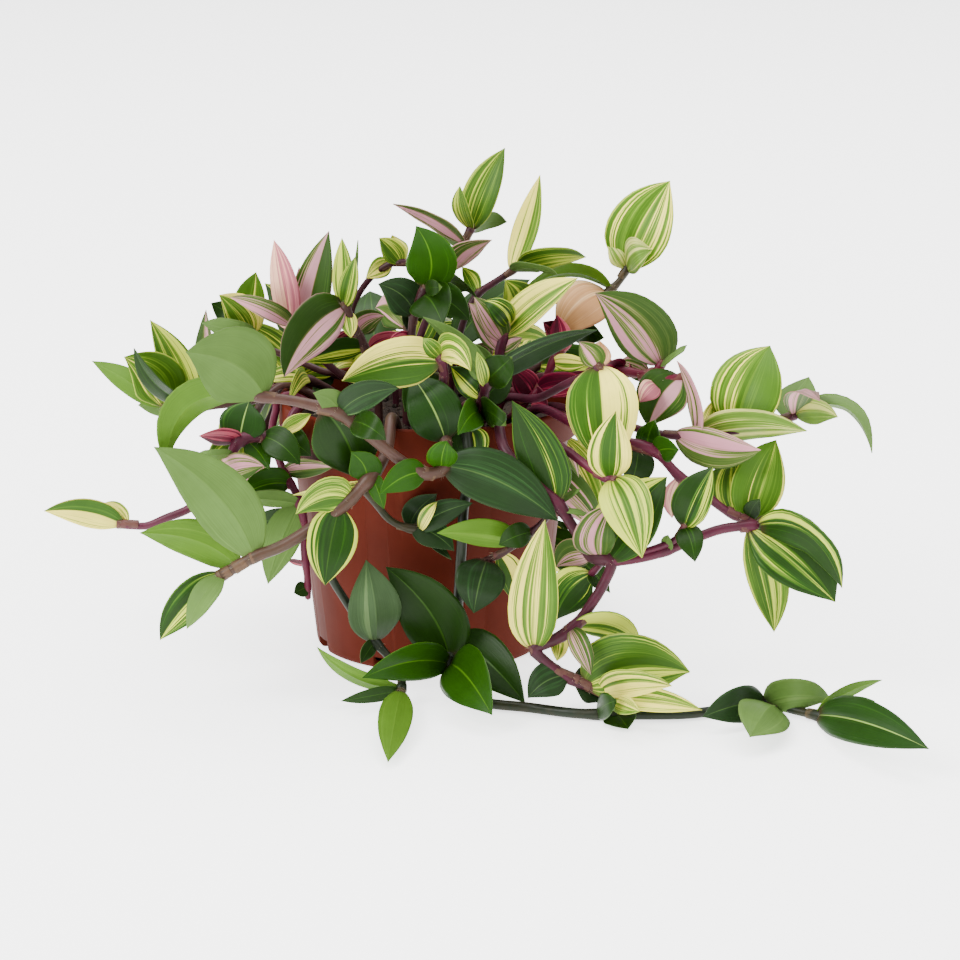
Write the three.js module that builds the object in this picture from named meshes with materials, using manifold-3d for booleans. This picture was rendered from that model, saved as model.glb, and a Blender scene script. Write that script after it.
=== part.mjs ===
// Trailing variegated plant in a round nursery pot: pot, soil and one solid for each leafy stem.
// Millimetres. +X to the right, +Y away from the front, +Z up; origin at the centre of the pot's foot.
import * as THREE from "three";
import { mergeVertices } from "three/addons/utils/BufferGeometryUtils.js";
import Module from "manifold-3d";

const wasm = await Module();
wasm.setup();

// ---- driving dimensions -------------------------------------------------------------------------
const RIM_R = 60;            // outer radius of the rim
const POT_H = 101.5;         // pot height
const COLLAR_H = 13;         // depth of the collar under the rim
const COLLAR_STEP = 4.4;     // how far the collar stands out from the wall
const FOOT_R = 46;           // outer radius of the foot
const WALL = 1.6;            // wall thickness
const BASE_T = 2.2;          // thickness of the pot's bottom
const NOTCHES = 8;           // drainage notches round the edge of the foot
const NOTCH_W = 9;
const NOTCH_H = 5;
const SOIL_TOP = 91.5;       // height of the soil surface
const GAP = 0.3;             // clearance between pieces
const ROOT_Z = 66;           // how deep a stem stands in its hole
const STEM_SIDES = 5;
const FINE = 2.5;            // longest step along a stem's curve
const SLACK = 1.0;           // how far a stem's straight pieces may cut its bends
const BLADE_T = 0.7;         // thickness of a leaf at its margin
const RIB_T = 1.0;           // thickness of a leaf at its midrib
const NECK_W = 1.8;          // width of a leaf where it joins the stem
const FOLD = 0.2;            // how steeply the two halves of a blade rise from the midrib
const BREADTH = 1.07;        // a folded blade is this much wider than it looks
const SAMPLE = 2.6;          // spacing of the points that keep leaves apart
const FLOOR_CLEAR = 1.3;
const MERGE = 0.2;           // detail finer than this is merged away where leaves meet a stem

// ---- the photograph's viewpoint ------------------------------------------------------------------
const AIM = [20, 0, 66];
const TILT = 15 * Math.PI / 180;
const RANGE = 1200;
const FOCAL = 2990;          // in pixels of a 960 pixel wide picture
const EYE = [AIM[0], -RANGE * Math.cos(TILT), AIM[2] + RANGE * Math.sin(TILT)];
const AHEAD = [0, Math.cos(TILT), -Math.sin(TILT)];
const UPWARD = [0, Math.sin(TILT), Math.cos(TILT)];

// ---- small vector helpers ------------------------------------------------------------------------
const add = (a, b) => [a[0] + b[0], a[1] + b[1], a[2] + b[2]];
const sub = (a, b) => [a[0] - b[0], a[1] - b[1], a[2] - b[2]];
const mul = (a, k) => [a[0] * k, a[1] * k, a[2] * k];
const dot = (a, b) => a[0] * b[0] + a[1] * b[1] + a[2] * b[2];
const cross = (a, b) => [a[1] * b[2] - a[2] * b[1], a[2] * b[0] - a[0] * b[2], a[0] * b[1] - a[1] * b[0]];
const len = (a) => Math.sqrt(dot(a, a));
const unit = (a) => mul(a, 1 / (len(a) || 1));

function ray(px, py) {
  return add(add(AHEAD, [(px - 480) / FOCAL, 0, 0]), mul(UPWARD, (480 - py) / FOCAL));
}
function seen(px, py, near) {              // the point on that line of sight, near mm before the pot's axis
  const d = ray(px, py);
  return add(EYE, mul(d, (-near - EYE[1]) / d[1]));
}
function lying(px, py, z) {                // the point on that line of sight at height z
  const d = ray(px, py);
  return add(EYE, mul(d, (z - EYE[2]) / d[2]));
}
function picture(p) {
  const v = sub(p, EYE), depth = dot(v, AHEAD);
  return [480 + FOCAL * v[0] / depth, 480 - FOCAL * dot(v, UPWARD) / depth];
}

// ---- seeded numbers ------------------------------------------------------------------------------
function draws(seed) {
  let s = seed >>> 0;
  return () => { s = (Math.imul(s, 1664525) + 1013904223) >>> 0; return s / 4294967296; };
}

// ---- the leafy stems seen in the photograph ------------------------------------------------------
// name, foot in the soil [x, y], radius, way out ("rim" over the edge, "free" straight up), route
// [px, py, near] (near "g": lying on the ground), side shoots: [radius, route]
const STEMS = [
  ["crown", [-4, 6], 1.5, "free",
    [[418, 345, 8], [427, 318, 8], [438, 295, 6], [449, 275, 4], [459, 254, 2], [466, 238, 0],
      [471, 229, 0]], []],
  ["cream_arm", [8, -2], 1.4, "free",
    [[456, 350, 20], [465, 318, 19], [478, 294, 16], [495, 282, 14], [512, 271, 12], [519, 266, 12]], []],
  ["fan_arm", [22, 7], 1.6, "free",
    [[528, 358, 10], [562, 330, 12], [592, 305, 13], [611, 290, 12], [621, 279, 11], [627, 268, 10]], []],
  ["lilac_arm", [34, 2], 1.6, "free",
    [[560, 376, 26], [590, 374, 32], [622, 371, 35], [645, 374, 36], [657, 370, 36], [662, 363, 36]], []],
  ["dark_pink", [36, -8], 1.5, "free",
    [[560, 393, 26], [586, 399, 38], [612, 402, 46], [640, 394, 47], [652, 386, 47], [667, 379, 46],
      [680, 377, 45]], []],
  ["right_high", [38, -17], 1.5, "rim",
    [[600, 420, 54], [628, 426, 56], [655, 433, 58], [690, 436, 60], [720, 432, 61], [750, 428, 60],
      [780, 421, 58], [795, 415, 57]], []],
  ["right_mid", [34, -25], 1.8, "rim",
    [[598, 436, 64], [632, 443, 67], [656, 452, 69], [680, 477, 70], [698, 488, 70], [718, 505, 70],
      [735, 516, 70], [749, 520, 70]], []],
  ["cream_star", [28, -31], 1.7, "rim",
    [[560, 446, 66], [573, 455, 70], [590, 468, 75], [604, 477, 79], [613, 479, 81]], []],
  ["big_stripe", [20, -26], 1.6, "free",
    [[538, 398, 48], [568, 383, 56], [590, 373, 61], [598, 367, 63]], []],
  ["knot", [24, -38], 2.05, "rim",
    [[505, 450, 67], [530, 478, 72], [556, 502, 75], [575, 530, 79], [592, 555, 83], [611, 562, 86],
      [603, 585, 88], [588, 609, 90], [573, 628, 91], [552, 641, 92], [534, 648, 93], [551, 666, 94],
      [571, 679, 95], [600, 691, 96], [613, 701, 97]],
    [[1.9, [[610, 562, 86], [634, 559, 86], [656, 554, 86], [690, 541, 84], [706, 534, 83], [722, 529, 82],
      [745, 526, 80], [758, 526, 79]]],
    [1.3, [[666, 551, 85], [676, 539, 87], [684, 527, 88]]],
    [1.2, [[604, 560, 85], [598, 567, 83], [591, 574, 81]]],
    [1.3, [[555, 505, 75], [543, 522, 73], [520, 541, 68], [501, 554, 65], [487, 560, 63]]]]],
  ["floor_trail", [9, -41], 2.0, "rim",
    [[470, 470, 66], [464, 505, 66], [462, 540, 65], [459, 590, 63], [456, 628, 62], [449, 655, 64],
      [453, 684, 70], [480, 702, "g"], [530, 708, "g"], [580, 714, "g"], [640, 715, "g"], [690, 714, "g"],
      [735, 708, "g"], [765, 704, "g"], [800, 712, "g"], [828, 718, "g"]], []],
  ["long_left", [-1, -41], 2.15, "rim",
    [[446, 446, 67], [443, 468, 73], [424, 474, 77], [400, 460, 79], [363, 431, 81], [340, 413, 81],
      [312, 405, 81], [288, 400, 81], [262, 397, 80], [252, 395, 79]], []],
  ["low_left", [-12, -39], 2.25, "rim",
    [[387, 450, 70], [377, 470, 76], [362, 487, 79], [345, 504, 81], [316, 525, 84], [282, 546, 86],
      [254, 557, 87], [236, 567, 87], [222, 575, 87]],
    [[1.6, [[318, 524, 84], [322, 548, 79], [329, 573, 76], [345, 600, 74], [363, 627, 73], [378, 645, 74],
      [392, 661, 77], [402, 678, 82], [401, 690, 88]]],
    [1.4, [[362, 487, 79], [376, 504, 68], [390, 520, 63], [404, 527, 61], [420, 530, 61]]]]],
  ["left_arm", [-35, -22], 1.7, "rim",
    [[283, 430, 36], [262, 437, 42], [240, 440, 45], [228, 462, 47], [214, 487, 49], [190, 508, 50],
      [166, 518, 51], [145, 526, 51], [122, 524, 51]], []],
  ["left_hang", [-41, -10], 1.5, "rim",
    [[272, 430, 16], [281, 465, 26], [298, 498, 34], [304, 525, 36], [304, 550, 36], [307, 575, 36],
      [308, 598, 36]], []],
  ["left_back", [-41, 5], 1.6, "rim",
    [[262, 398, -4], [235, 403, -2], [205, 406, 0], [182, 406, 2], [165, 406, 3]], []],
  ["left_up", [-29, 13], 1.4, "free",
    [[325, 372, -8], [290, 357, -10], [262, 346, -9], [249, 333, -8], [244, 318, -8]], []],
  ["pink_pair", [-28, 0], 1.5, "free",
    [[345, 378, 6], [320, 357, 9], [301, 338, 10], [290, 322, 9]], []],
  ["green_pink", [-20, -9], 1.6, "free",
    [[374, 374, 16], [364, 346, 19], [352, 322, 21], [344, 306, 21]], []],
  ["bow", [-14, 18], 1.3, "free",
    [[380, 360, -18], [357, 337, -18], [351, 315, -17], [360, 292, -16], [378, 271, -14], [396, 262, -13],
      [410, 263, -12]], []],
  ["green_crown", [-9, -14], 1.6, "free",
    [[410, 372, 24], [411, 342, 28], [414, 315, 30], [420, 298, 32], [425, 288, 33]], []],
  ["half_cream", [2, -24], 1.6, "free",
    [[440, 402, 50], [444, 382, 59], [443, 364, 64], [439, 356, 66]], []],
  ["grey_star", [12, -18], 1.7, "free",
    [[478, 420, 44], [481, 406, 52], [485, 390, 57], [487, 377, 60]], []],
  ["striped_mid", [17, -7], 1.6, "free",
    [[497, 376, 26], [500, 353, 30], [505, 335, 32], [515, 322, 30], [520, 311, 28]], []],
  ["crimson", [27, -5], 1.6, "free",
    [[531, 398, 26], [545, 380, 27], [553, 362, 27], [563, 345, 25], [573, 334, 24]], []],
];

// ---- the leaves seen in the photograph -----------------------------------------------------------
// [base px, py, tip px, py, how much nearer the tip is (mm) or "g", width mm, roll deg, arch mm, colouring]
const LEAVES = {
  crown: [[474, 226, 505, 148, -4, 13.5, 15, 3, "A"], [469, 232, 460, 186, 6, 8, 40, -2, "A"],
    [464, 236, 393, 204, 4, 11, 60, 3, "C"], [463, 240, 437, 232, -10, 8, 50, 0, "E"],
    [470, 236, 507, 222, -8, 10, -50, 2, "E"], [448, 275, 492, 240, 12, 12, -45, 3, "C"],
    [446, 279, 477, 298, 12, 10, -60, 4, "D"]],
  cream_arm: [[513, 271, 540, 175, -6, 12, 40, -3, "G"], [518, 266, 586, 257, 4, 11, -45, 2, "A"],
    [514, 271, 557, 274, 14, 9, -70, 2, "E"], [480, 292, 462, 267, -8, 8, 40, 2, "A"]],
  fan_arm: [[627, 267, 670, 181, -6, 24, 10, 4, "A-"], [627, 270, 607, 241, 9, 12, -25, 3, "Y"],
    [628, 269, 652, 250, 11, 13, 25, 3, "Y"], [612, 289, 524, 289, 2, 11, 62, 8, "L"],
    [606, 293, 557, 335, 14, 19, -15, 4, "T"]],
  lilac_arm: [[661, 364, 595, 293, 2, 21.5, 10, 5, "C"], [622, 371, 605, 363, 10, 9, 20, 1, "F"],
    [630, 371, 642, 356, 12, 9, -30, 1, "F"], [648, 373, 620, 361, -10, 10, 30, 0, "C"]],
  dark_pink: [[680, 378, 648, 427, 10, 19, -5, 4, "H-"], [655, 385, 640, 402, 9, 8, 0, 1, "P"],
    [600, 400, 577, 424, 12, 11, 10, 2, "D"]],
  right_high: [[697, 435, 677, 361, -6, 11, 66, 9, "C"], [740, 430, 770, 346, -14, 25, 5, 5, "A-"],
    [700, 435, 807, 431, 8, 16, -45, 3, "Y"], [676, 435, 761, 450, 15, 15, -20, -3, "C"],
    [793, 416, 820, 401, 10, 11, -60, 7, "C"], [785, 419, 809, 377, -16, 15, 20, 0, "E"],
    [795, 415, 872, 453, 6, 13, -68, 14, "E"], [795, 416, 838, 417, 12, 11, -30, 2, "Y"]],
  right_mid: [[640, 446, 631, 484, 8, 13, 10, -3, "D"], [652, 450, 679, 450, 9, 10, -20, 1, "V"],
    [645, 448, 655, 420, 4, 9, 0, 1, "V"], [682, 479, 672, 518, -8, 9, 30, 1, "P"],
    [733, 516, 735, 454, -6, 22, 0, 4, "A"], [766, 521, 776, 440, -12, 19, -10, 4, "G"]],
  cream_star: [[611, 478, 616, 411, 7, 15.5, 0, 3, "N"], [603, 477, 589, 440, 2, 8, 10, 1, "C"],
    [613, 479, 642, 558, 24, 18, 0, 5, "G"]],
  big_stripe: [[598, 368, 605, 467, 8, 25.5, 0, 5, "B-"], [597, 369, 579, 342, 7, 9, 10, 1, "C"],
    [597, 368, 600, 341, -5, 9, 0, 1, "T"]],
  knot: [[555, 500, 512, 401, -2, 19, 0, 4, "B+"], [609, 561, 667, 477, -6, 23, 10, 4, "S"],
    [600, 556, 612, 505, 9, 15, -10, 5, "C-"], [534, 646, 545, 520, 8, 17.5, 0, 6, "G"],
    [590, 553, 556, 567, -6, 12, 20, 3, "C"], [591, 574, 556, 620, -5, 16, 10, 3, "S"],
    [571, 631, 591, 675, 7, 8, -20, 2, "C"], [574, 629, 640, 645, -6, 13, -40, 5, "A"],
    [587, 684, 690, 672, 10, 26, -12, 6, "A"], [598, 691, 672, 686, 22, 11, -25, 3, "G"],
    [609, 699, 702, 710, 12, 9, -30, 2, "G"], [566, 677, 528, 698, 5, 13, -10, 3, "K"],
    [570, 679, 612, 704, 4, 15, 20, 3, "K"], [684, 527, 713, 467, -3, 14, 10, 3, "S"],
    [684, 528, 695, 562, 9, 9.5, 0, 3, "D"], [755, 524, 842, 588, 6, 14, -42, 12, "A"],
    [748, 527, 835, 602, 12, 25, 10, 5, "S+"], [748, 528, 774, 632, -8, 15, 0, 3, "A"],
    [488, 560, 474, 613, 6, 18, 0, 3, "K"], [519, 541, 437, 533, 10, 11, 25, 2, "L"],
    [530, 532, 499, 545, 3, 9, 10, 1, "D"], [500, 554, 514, 602, -8, 10, 10, 2, "B"]],
  floor_trail: [[456, 638, 525, 703, 20, 18, 0, 4, "D"], [449, 657, 386, 567, 6, 23, 10, 5, "D"],
    [450, 664, 492, 715, 26, 20, 10, 4, "V"], [450, 664, 362, 678, 34, 14, 20, 4, "V"],
    [466, 430, 473, 469, 9, 14.5, 0, 2, "S"],
    [762, 704, 694, 719, "g", 13, 30, 2, "K"], [766, 704, 831, 699, -4, 14, -10, 3, "Z"],
    [772, 705, 750, 737, "g", 19, -10, 3, "Z"], [822, 717, 882, 680, 0, 7, -50, 3, "L"],
    [828, 718, 875, 701, 6, 8.5, -20, 1, "V"],
    [815, 716, 929, 749, "g", 16, -25, 3, "W"]],
  long_left: [[443, 470, 447, 441, 8, 11, -10, 1, "V"], [426, 474, 380, 494, 12, 11, 10, 3, "V"],
    [443, 466, 558, 521, 7, 20, 10, 5, "K"], [341, 413, 399, 388, 6, 11, -20, 3, "K"],
    [341, 413, 313, 393, 6, 9, 20, 2, "E"], [324, 407, 357, 478, -9, 24, 0, 3, "D"],
    [350, 420, 386, 440, 7, 10, 0, 2, "D"], [262, 397, 186, 352, 22, 28, 5, 5, "E"],
    [256, 396, 166, 467, 10, 19, 48, 16, "L"], [444, 440, 411, 375, -8, 19.5, 0, 3, "W"]],
  low_left: [[369, 480, 351, 452, 6, 12, 10, 2, "V"], [373, 476, 384, 509, 9, 7, -30, 1, "V"],
    [350, 499, 296, 514, 10, 13.5, 30, 5, "A"], [340, 508, 325, 585, 8, 18, 10, 3, "M"],
    [252, 557, 154, 447, 2, 22.5, 5, 7, "E"], [238, 566, 140, 533, 8, 16, 25, 5, "L"],
    [223, 575, 160, 640, 0, 13.5, 15, 3, "S"], [222, 575, 187, 629, 9, 9.5, -20, 3, "E"],
    [368, 480, 293, 495, -5, 5, 55, 0, "G"], [376, 644, 366, 560, 5, 19.5, -10, 4, "Z"],
    [400, 688, 317, 647, 6, 8.5, 48, -5, "L"], [398, 690, 341, 701, 8, 6, 30, 0, "D"],
    [396, 690, 388, 762, 38, 12, 0, 2, "L"], [402, 688, 398, 743, 26, 6, 60, 0, "K"],
    [410, 529, 437, 494, 4, 10, 0, 2, "K"], [418, 530, 473, 503, 6, 9.5, 0, 2, "K"],
    [412, 530, 454, 551, 7, 11, 10, 3, "K"]],
  left_arm: [[121, 524, 44, 511, 4, 11, 20, 3, "B-"], [128, 525, 104, 503, -6, 8, 20, 1, "G"],
    [238, 440, 199, 436, 7, 11, 55, 1, "F"], [239, 440, 249, 402, -7, 17, 0, 2, "W"],
    [221, 475, 264, 466, 7, 11, -10, 2, "C"], [238, 443, 224, 501, 6, 7, 45, 0, "A"],
    [242, 440, 269, 469, 8, 9, 20, 2, "V"], [262, 437, 300, 465, 9, 12, 0, 3, "D"]],
  left_hang: [[300, 502, 268, 584, 6, 14, 0, 3, "E"], [290, 483, 238, 498, 8, 13, 25, 3, "V"],
    [301, 504, 231, 499, 15, 8, 38, 1, "E"], [303, 516, 247, 523, -10, 9, 20, 0, "D"],
    [286, 474, 334, 467, -8, 8, -20, 1, "C"], [274, 441, 316, 458, 12, 13, 0, 3, "D"]],
  left_back: [[166, 406, 124, 357, 9, 20, 5, 5, "S"], [166, 406, 92, 361, -10, 10, 10, 1, "L"],
    [186, 406, 129, 359, -5, 13, 20, 2, "V"], [200, 406, 134, 348, 4, 10, 50, -5, "D"],
    [190, 406, 150, 320, 1, 13.5, 0, 3, "G"], [208, 406, 206, 310, -9, 12, 50, -4, "C"],
    [178, 406, 138, 405, 11, 8.5, 10, 0, "E"]],
  left_up: [[246, 325, 256, 272, -5, 12, 0, 2, "V"], [250, 336, 219, 295, 6, 14.5, 0, 3, "G"],
    [246, 323, 211, 303, -9, 10, 0, 0, "D"], [258, 343, 202, 323, 4, 10, 30, 1, "E"]],
  pink_pair: [[290, 322, 274, 240, 1, 10.5, 15, 2, "P"], [292, 326, 230, 297, 8, 8.5, 35, 2, "C"],
    [294, 328, 260, 299, -5, 7.5, 30, 1, "P"], [299, 336, 299, 267, -8, 6.5, 25, 0, "F"],
    [306, 343, 329, 231, -4, 15, 15, 3, "H-"]],
  green_pink: [[344, 307, 284, 377, 15, 19, 20, 7, "H-"], [344, 306, 355, 257, 4, 8, 30, 0, "A"],
    [344, 306, 342, 238, -4, 8.5, 20, 1, "A"], [348, 313, 358, 240, -9, 5, 70, -1, "E"],
    [364, 346, 302, 362, 12, 10, 30, 2, "S"], [360, 340, 330, 345, 6, 8, 30, 0, "F"]],
  bow: [[400, 262, 379, 238, 4, 9, 0, 1, "A"], [405, 262, 392, 235, -8, 9, 30, 0, "G"],
    [392, 264, 366, 278, 7, 8, 10, 1, "G"], [354, 332, 384, 316, 7, 10, -20, 2, "C"],
    [362, 344, 330, 336, 7, 8, 20, 1, "F"], [372, 352, 410, 336, 8, 9, -20, 1, "F"]],
  green_crown: [[424, 290, 416, 226, 10, 18.5, 0, 4, "V"], [414, 314, 378, 284, 6, 14, 0, 3, "K"],
    [421, 297, 443, 325, 20, 17, 0, 4, "D"], [425, 291, 470, 321, 5, 12.5, -10, 3, "D"],
    [411, 346, 386, 352, 8, 10, 10, 2, "F"]],
  half_cream: [[442, 361, 342, 381, 9, 19, 20, 4, "B+"], [440, 357, 471, 371, 9, 12, -30, 6, "G"],
    [441, 376, 405, 412, -8, 14, 10, 2, "D"]],
  grey_star: [[486, 383, 423, 317, 4, 9, 40, 3, "E"], [487, 380, 512, 357, 9, 12, 10, 0, "D"],
    [487, 381, 471, 342, 7, 10, 0, 1, "E"], [487, 380, 597, 330, -4, 12, -48, 4, "K"],
    [482, 402, 513, 373, -6, 11, 0, 1, "D"], [483, 399, 451, 367, -9, 10, 0, 1, "S"],
    [480, 412, 455, 438, 11, 11, 20, 3, "V"], [480, 411, 506, 426, 11, 11, -20, 2, "D"]],
  striped_mid: [[506, 334, 578, 278, 6, 13, 20, 3, "G"], [503, 340, 474, 297, 4, 10, 10, 1, "C"],
    [510, 328, 484, 301, 10, 9, 0, 2, "S"], [500, 352, 469, 303, -7, 11, 20, 2, "C"],
    [519, 314, 505, 280, 6, 13, 0, 3, "A"]],
  crimson: [[533, 396, 511, 368, 6, 10, 0, 1, "F"], [531, 398, 554, 408, 11, 9, -20, 1, "F"],
    [536, 392, 591, 382, 6, 10, -20, 1, "F"], [564, 343, 543, 322, 6, 9, 0, 1, "F"],
    [572, 335, 575, 310, 7, 9, 0, 1, "F"], [573, 334, 604, 338, 8, 10, -30, 2, "D"],
    [560, 350, 557, 315, 5, 9, 0, 1, "F"]],
};

// ---- curves --------------------------------------------------------------------------------------
function curve(points, step) {             // a smooth line through the points, in short pieces
  const p = [sub(mul(points[0], 2), points[1]), ...points,
    sub(mul(points[points.length - 1], 2), points[points.length - 2])];
  const out = [];
  for (let i = 1; i + 2 < p.length; i++) {
    const a = p[i - 1], b = p[i], c = p[i + 1], d = p[i + 2];
    const t0 = Math.sqrt(len(sub(b, a)));
    const t1 = Math.sqrt(len(sub(c, b)));
    const t2 = Math.sqrt(len(sub(d, c)));
    const before = sub(mul(sub(b, a), 1 / t0), mul(sub(c, a), 1 / (t0 + t1)));
    const after = sub(mul(sub(d, c), 1 / t2), mul(sub(d, b), 1 / (t1 + t2)));
    const from = mul(add(before, mul(sub(c, b), 1 / t1)), t1);
    const to = mul(add(after, mul(sub(c, b), 1 / t1)), t1);
    const n = Math.max(1, Math.ceil(len(sub(c, b)) / step));
    for (let k = 0; k < n; k++) {
      const t = k / n;
      const q = t * t;
      const u = q * t;
      out.push(add(add(mul(b, 2 * u - 3 * q + 1), mul(c, 3 * q - 2 * u)),
        add(mul(from, u - 2 * q + t), mul(to, u - q))));
    }
  }
  out.push(points[points.length - 1]);
  return out;
}
function straighten(line, slack) {         // drops the points a straight piece passes within slack of
  if (line.length < 3) return line;
  const a = line[0];
  const b = line[line.length - 1];
  const d = unit(sub(b, a));
  let worst = 0;
  let at = 0;
  for (let i = 1; i < line.length - 1; i++) {
    const v = sub(line[i], a);
    const off = len(sub(v, mul(d, dot(v, d))));
    if (off > worst) {
      worst = off;
      at = i;
    }
  }
  if (worst <= slack) return [a, b];
  return [...straighten(line.slice(0, at + 1), slack).slice(0, -1), ...straighten(line.slice(at), slack)];
}
function nearestOn(lines, px, py) {        // the point of the stem that shows closest to this place
  let best = null;
  let least = 1e9;
  for (const { axis } of lines)
    for (let i = 0; i + 1 < axis.length; i++)
      for (let k = 0; k <= 6; k++) {
        const p = add(mul(axis[i], 1 - k / 6), mul(axis[i + 1], k / 6));
        if (p[2] < SOIL_TOP + 2 && Math.hypot(p[0], p[1]) < RIM_R - 2) continue;
        const [x, y] = picture(p);
        const off = (x - px) ** 2 + (y - py) ** 2;
        if (off < least) {
          least = off;
          best = p;
        }
      }
  return best;
}

// ---- clearance from pot, soil and ground ---------------------------------------------------------
const WALL_TOP_R = RIM_R - COLLAR_STEP;
const OUTLINE = [[0, 0], [FOOT_R, 0], [WALL_TOP_R, POT_H - COLLAR_H], [RIM_R, POT_H - COLLAR_H],
  [RIM_R, POT_H], [RIM_R - 2.4, POT_H], [RIM_R - 4.5, SOIL_TOP + 1.6], [0, SOIL_TOP + 1.6]];
function potGap(p) {                       // distance to the filled pot, below zero inside it
  const r = Math.hypot(p[0], p[1]);
  const z = p[2];
  let least = 1e9;
  let inside = false;
  for (let i = 0; i < OUTLINE.length; i++) {
    const [ar, az] = OUTLINE[i];
    const [br, bz] = OUTLINE[(i + 1) % OUTLINE.length];
    const er = br - ar;
    const ez = bz - az;
    const k = Math.max(0, Math.min(1, ((r - ar) * er + (z - az) * ez) / (er * er + ez * ez)));
    if (!(ar === 0 && br === 0)) least = Math.min(least, Math.hypot(r - ar - k * er, z - az - k * ez));
    if ((az > z) !== (bz > z) && r < ar + (z - az) / (bz - az) * er) inside = !inside;
  }
  return inside ? -least : least;
}
function pushOut(p, gap) {                 // moves a point of a stem just clear of pot, soil and ground
  let q = p;
  for (let i = 0; i < 12; i++) {
    const g = potGap(q);
    if (g >= gap) break;
    const slope = [[1, 0, 0], [0, 1, 0], [0, 0, 1]].map((way) => potGap(add(q, mul(way, 0.01))) - g);
    q = add(q, mul(unit(slope), gap - g + 0.02));
  }
  return [q[0], q[1], Math.max(q[2], gap)];
}

// ---- stems ---------------------------------------------------------------------------------------
function place([px, py, near], radius) {
  return near === "g" ? lying(px, py, radius + FLOOR_CLEAR - 1) : seen(px, py, near);
}
function stemAxis([x, y], radius, way, marks) {
  const points = marks.map((m) => place(m, radius));
  const start = [[x, y, ROOT_Z], [x, y, SOIL_TOP + 3]];
  if (way === "rim") {
    const to = unit([points[0][0] - x, points[0][1] - y, 0]);
    const b = x * to[0] + y * to[1];
    const reach = -b + Math.sqrt(b * b - (x * x + y * y) + (RIM_R - 1.5) ** 2);
    const over = [x + to[0] * reach, y + to[1] * reach, POT_H + radius + 1.3];
    start.push([(x + over[0]) / 2, (y + over[1]) / 2, POT_H + radius - 1.5], over);
  } else start.push(add(mul([x, y, SOIL_TOP + 14], 0.6), mul(points[0], 0.4)));
  return aboveSoil(curve([...start, ...points], FINE), [x, y], radius);
}
function aboveSoil(line, [x, y], radius) {   // straight up its hole, then clear of soil, rim and ground
  const free = line.findIndex((p) => p[2] > SOIL_TOP + 2.9);
  const rest = line.slice(free + 1).map((p) => pushOut(p, radius + 0.45));
  return [line[0], [x, y, SOIL_TOP + 3], ...rest];
}

// ---- leaves --------------------------------------------------------------------------------------
const LONG_FORM = [[0, 0], [0.13, 0.72], [0.36, 1], [0.7, 0.7], [1, 0]];     // [along, share of the width]
const SHORT_FORM = [[0, 0], [0.3, 1], [0.7, 0.72], [1, 0]];
const SHORT_LEAF = 38;                       // length under which a leaf has fewer sections
const FLAT_LEAF = 29;                        // length under which it has no fold
const UNDERSIDES = "ELYZ";
function leafSections(leaf, tipShift, bowShift, shrink, turn) {
  const base = leaf.base;
  const there = sub(leaf.tip, base);
  const eye = unit(sub(EYE, add(base, mul(there, 0.5))));
  const tip = add(add(base, mul(there, shrink)), mul(unit(sub(EYE, leaf.tip)), tipShift));
  const long = len(sub(tip, base));
  const d = unit(sub(tip, base));
  const n0 = unit(sub(eye, mul(d, dot(eye, d))));
  const w0 = cross(d, n0);
  const a = (leaf.roll + turn) * Math.PI / 180;
  const side = add(mul(w0, Math.cos(a)), mul(n0, Math.sin(a)));
  const lift = add([0, 0, 1], mul(eye, 0.45));
  const bow = add(mul(unit(sub(lift, mul(d, dot(lift, d)))), leaf.arch), mul(eye, bowShift));
  const middle = add(add(mul(base, 0.55), mul(tip, 0.45)), mul(bow, 2));
  return (long < SHORT_LEAF ? SHORT_FORM : LONG_FORM).map(([t, share]) => {
    const at = add(add(mul(base, (1 - t) * (1 - t)), mul(middle, 2 * t * (1 - t))), mul(tip, t * t));
    const along = unit(add(mul(sub(middle, base), 2 * (1 - t)), mul(sub(tip, middle), 2 * t)));
    const across = unit(sub(side, mul(along, dot(side, along))));
    let up = cross(across, along);
    if (dot(up, n0) < 0) up = mul(up, -1);
    if (UNDERSIDES.includes(leaf.kind)) up = mul(up, -1);
    const half = t === 0 ? NECK_W / 2 : share * leaf.width / 2;
    return { at, across, up, half, flat: long < FLAT_LEAF || leaf.hidden === true };
  });
}
function bladePoint(s, u, high) {          // u from -1 at one margin to 1 at the other, high over the middle
  const rise = s.flat ? 0 : Math.abs(u) * s.half * FOLD;
  return add(add(s.at, mul(s.across, s.half * u)), mul(s.up, rise + high));
}
function leafSamples(sections) {
  const out = [];
  for (let i = 0; i + 1 < sections.length; i++) {
    const a = sections[i];
    const b = sections[i + 1];
    const n = Math.ceil(len(sub(b.at, a.at)) / SAMPLE);
    const m = Math.ceil(Math.max(a.half, b.half) / SAMPLE);
    for (let k = i ? 0 : 1; k < n; k++)
      for (let j = -m; j <= m; j++) {
        const p = add(mul(bladePoint(a, j / m, 0), 1 - k / n), mul(bladePoint(b, j / m, 0), k / n));
        out.push({ p, outer: i > 0 });
      }
  }
  out.push({ p: sections[sections.length - 1].at, outer: true });
  return out;
}

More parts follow.
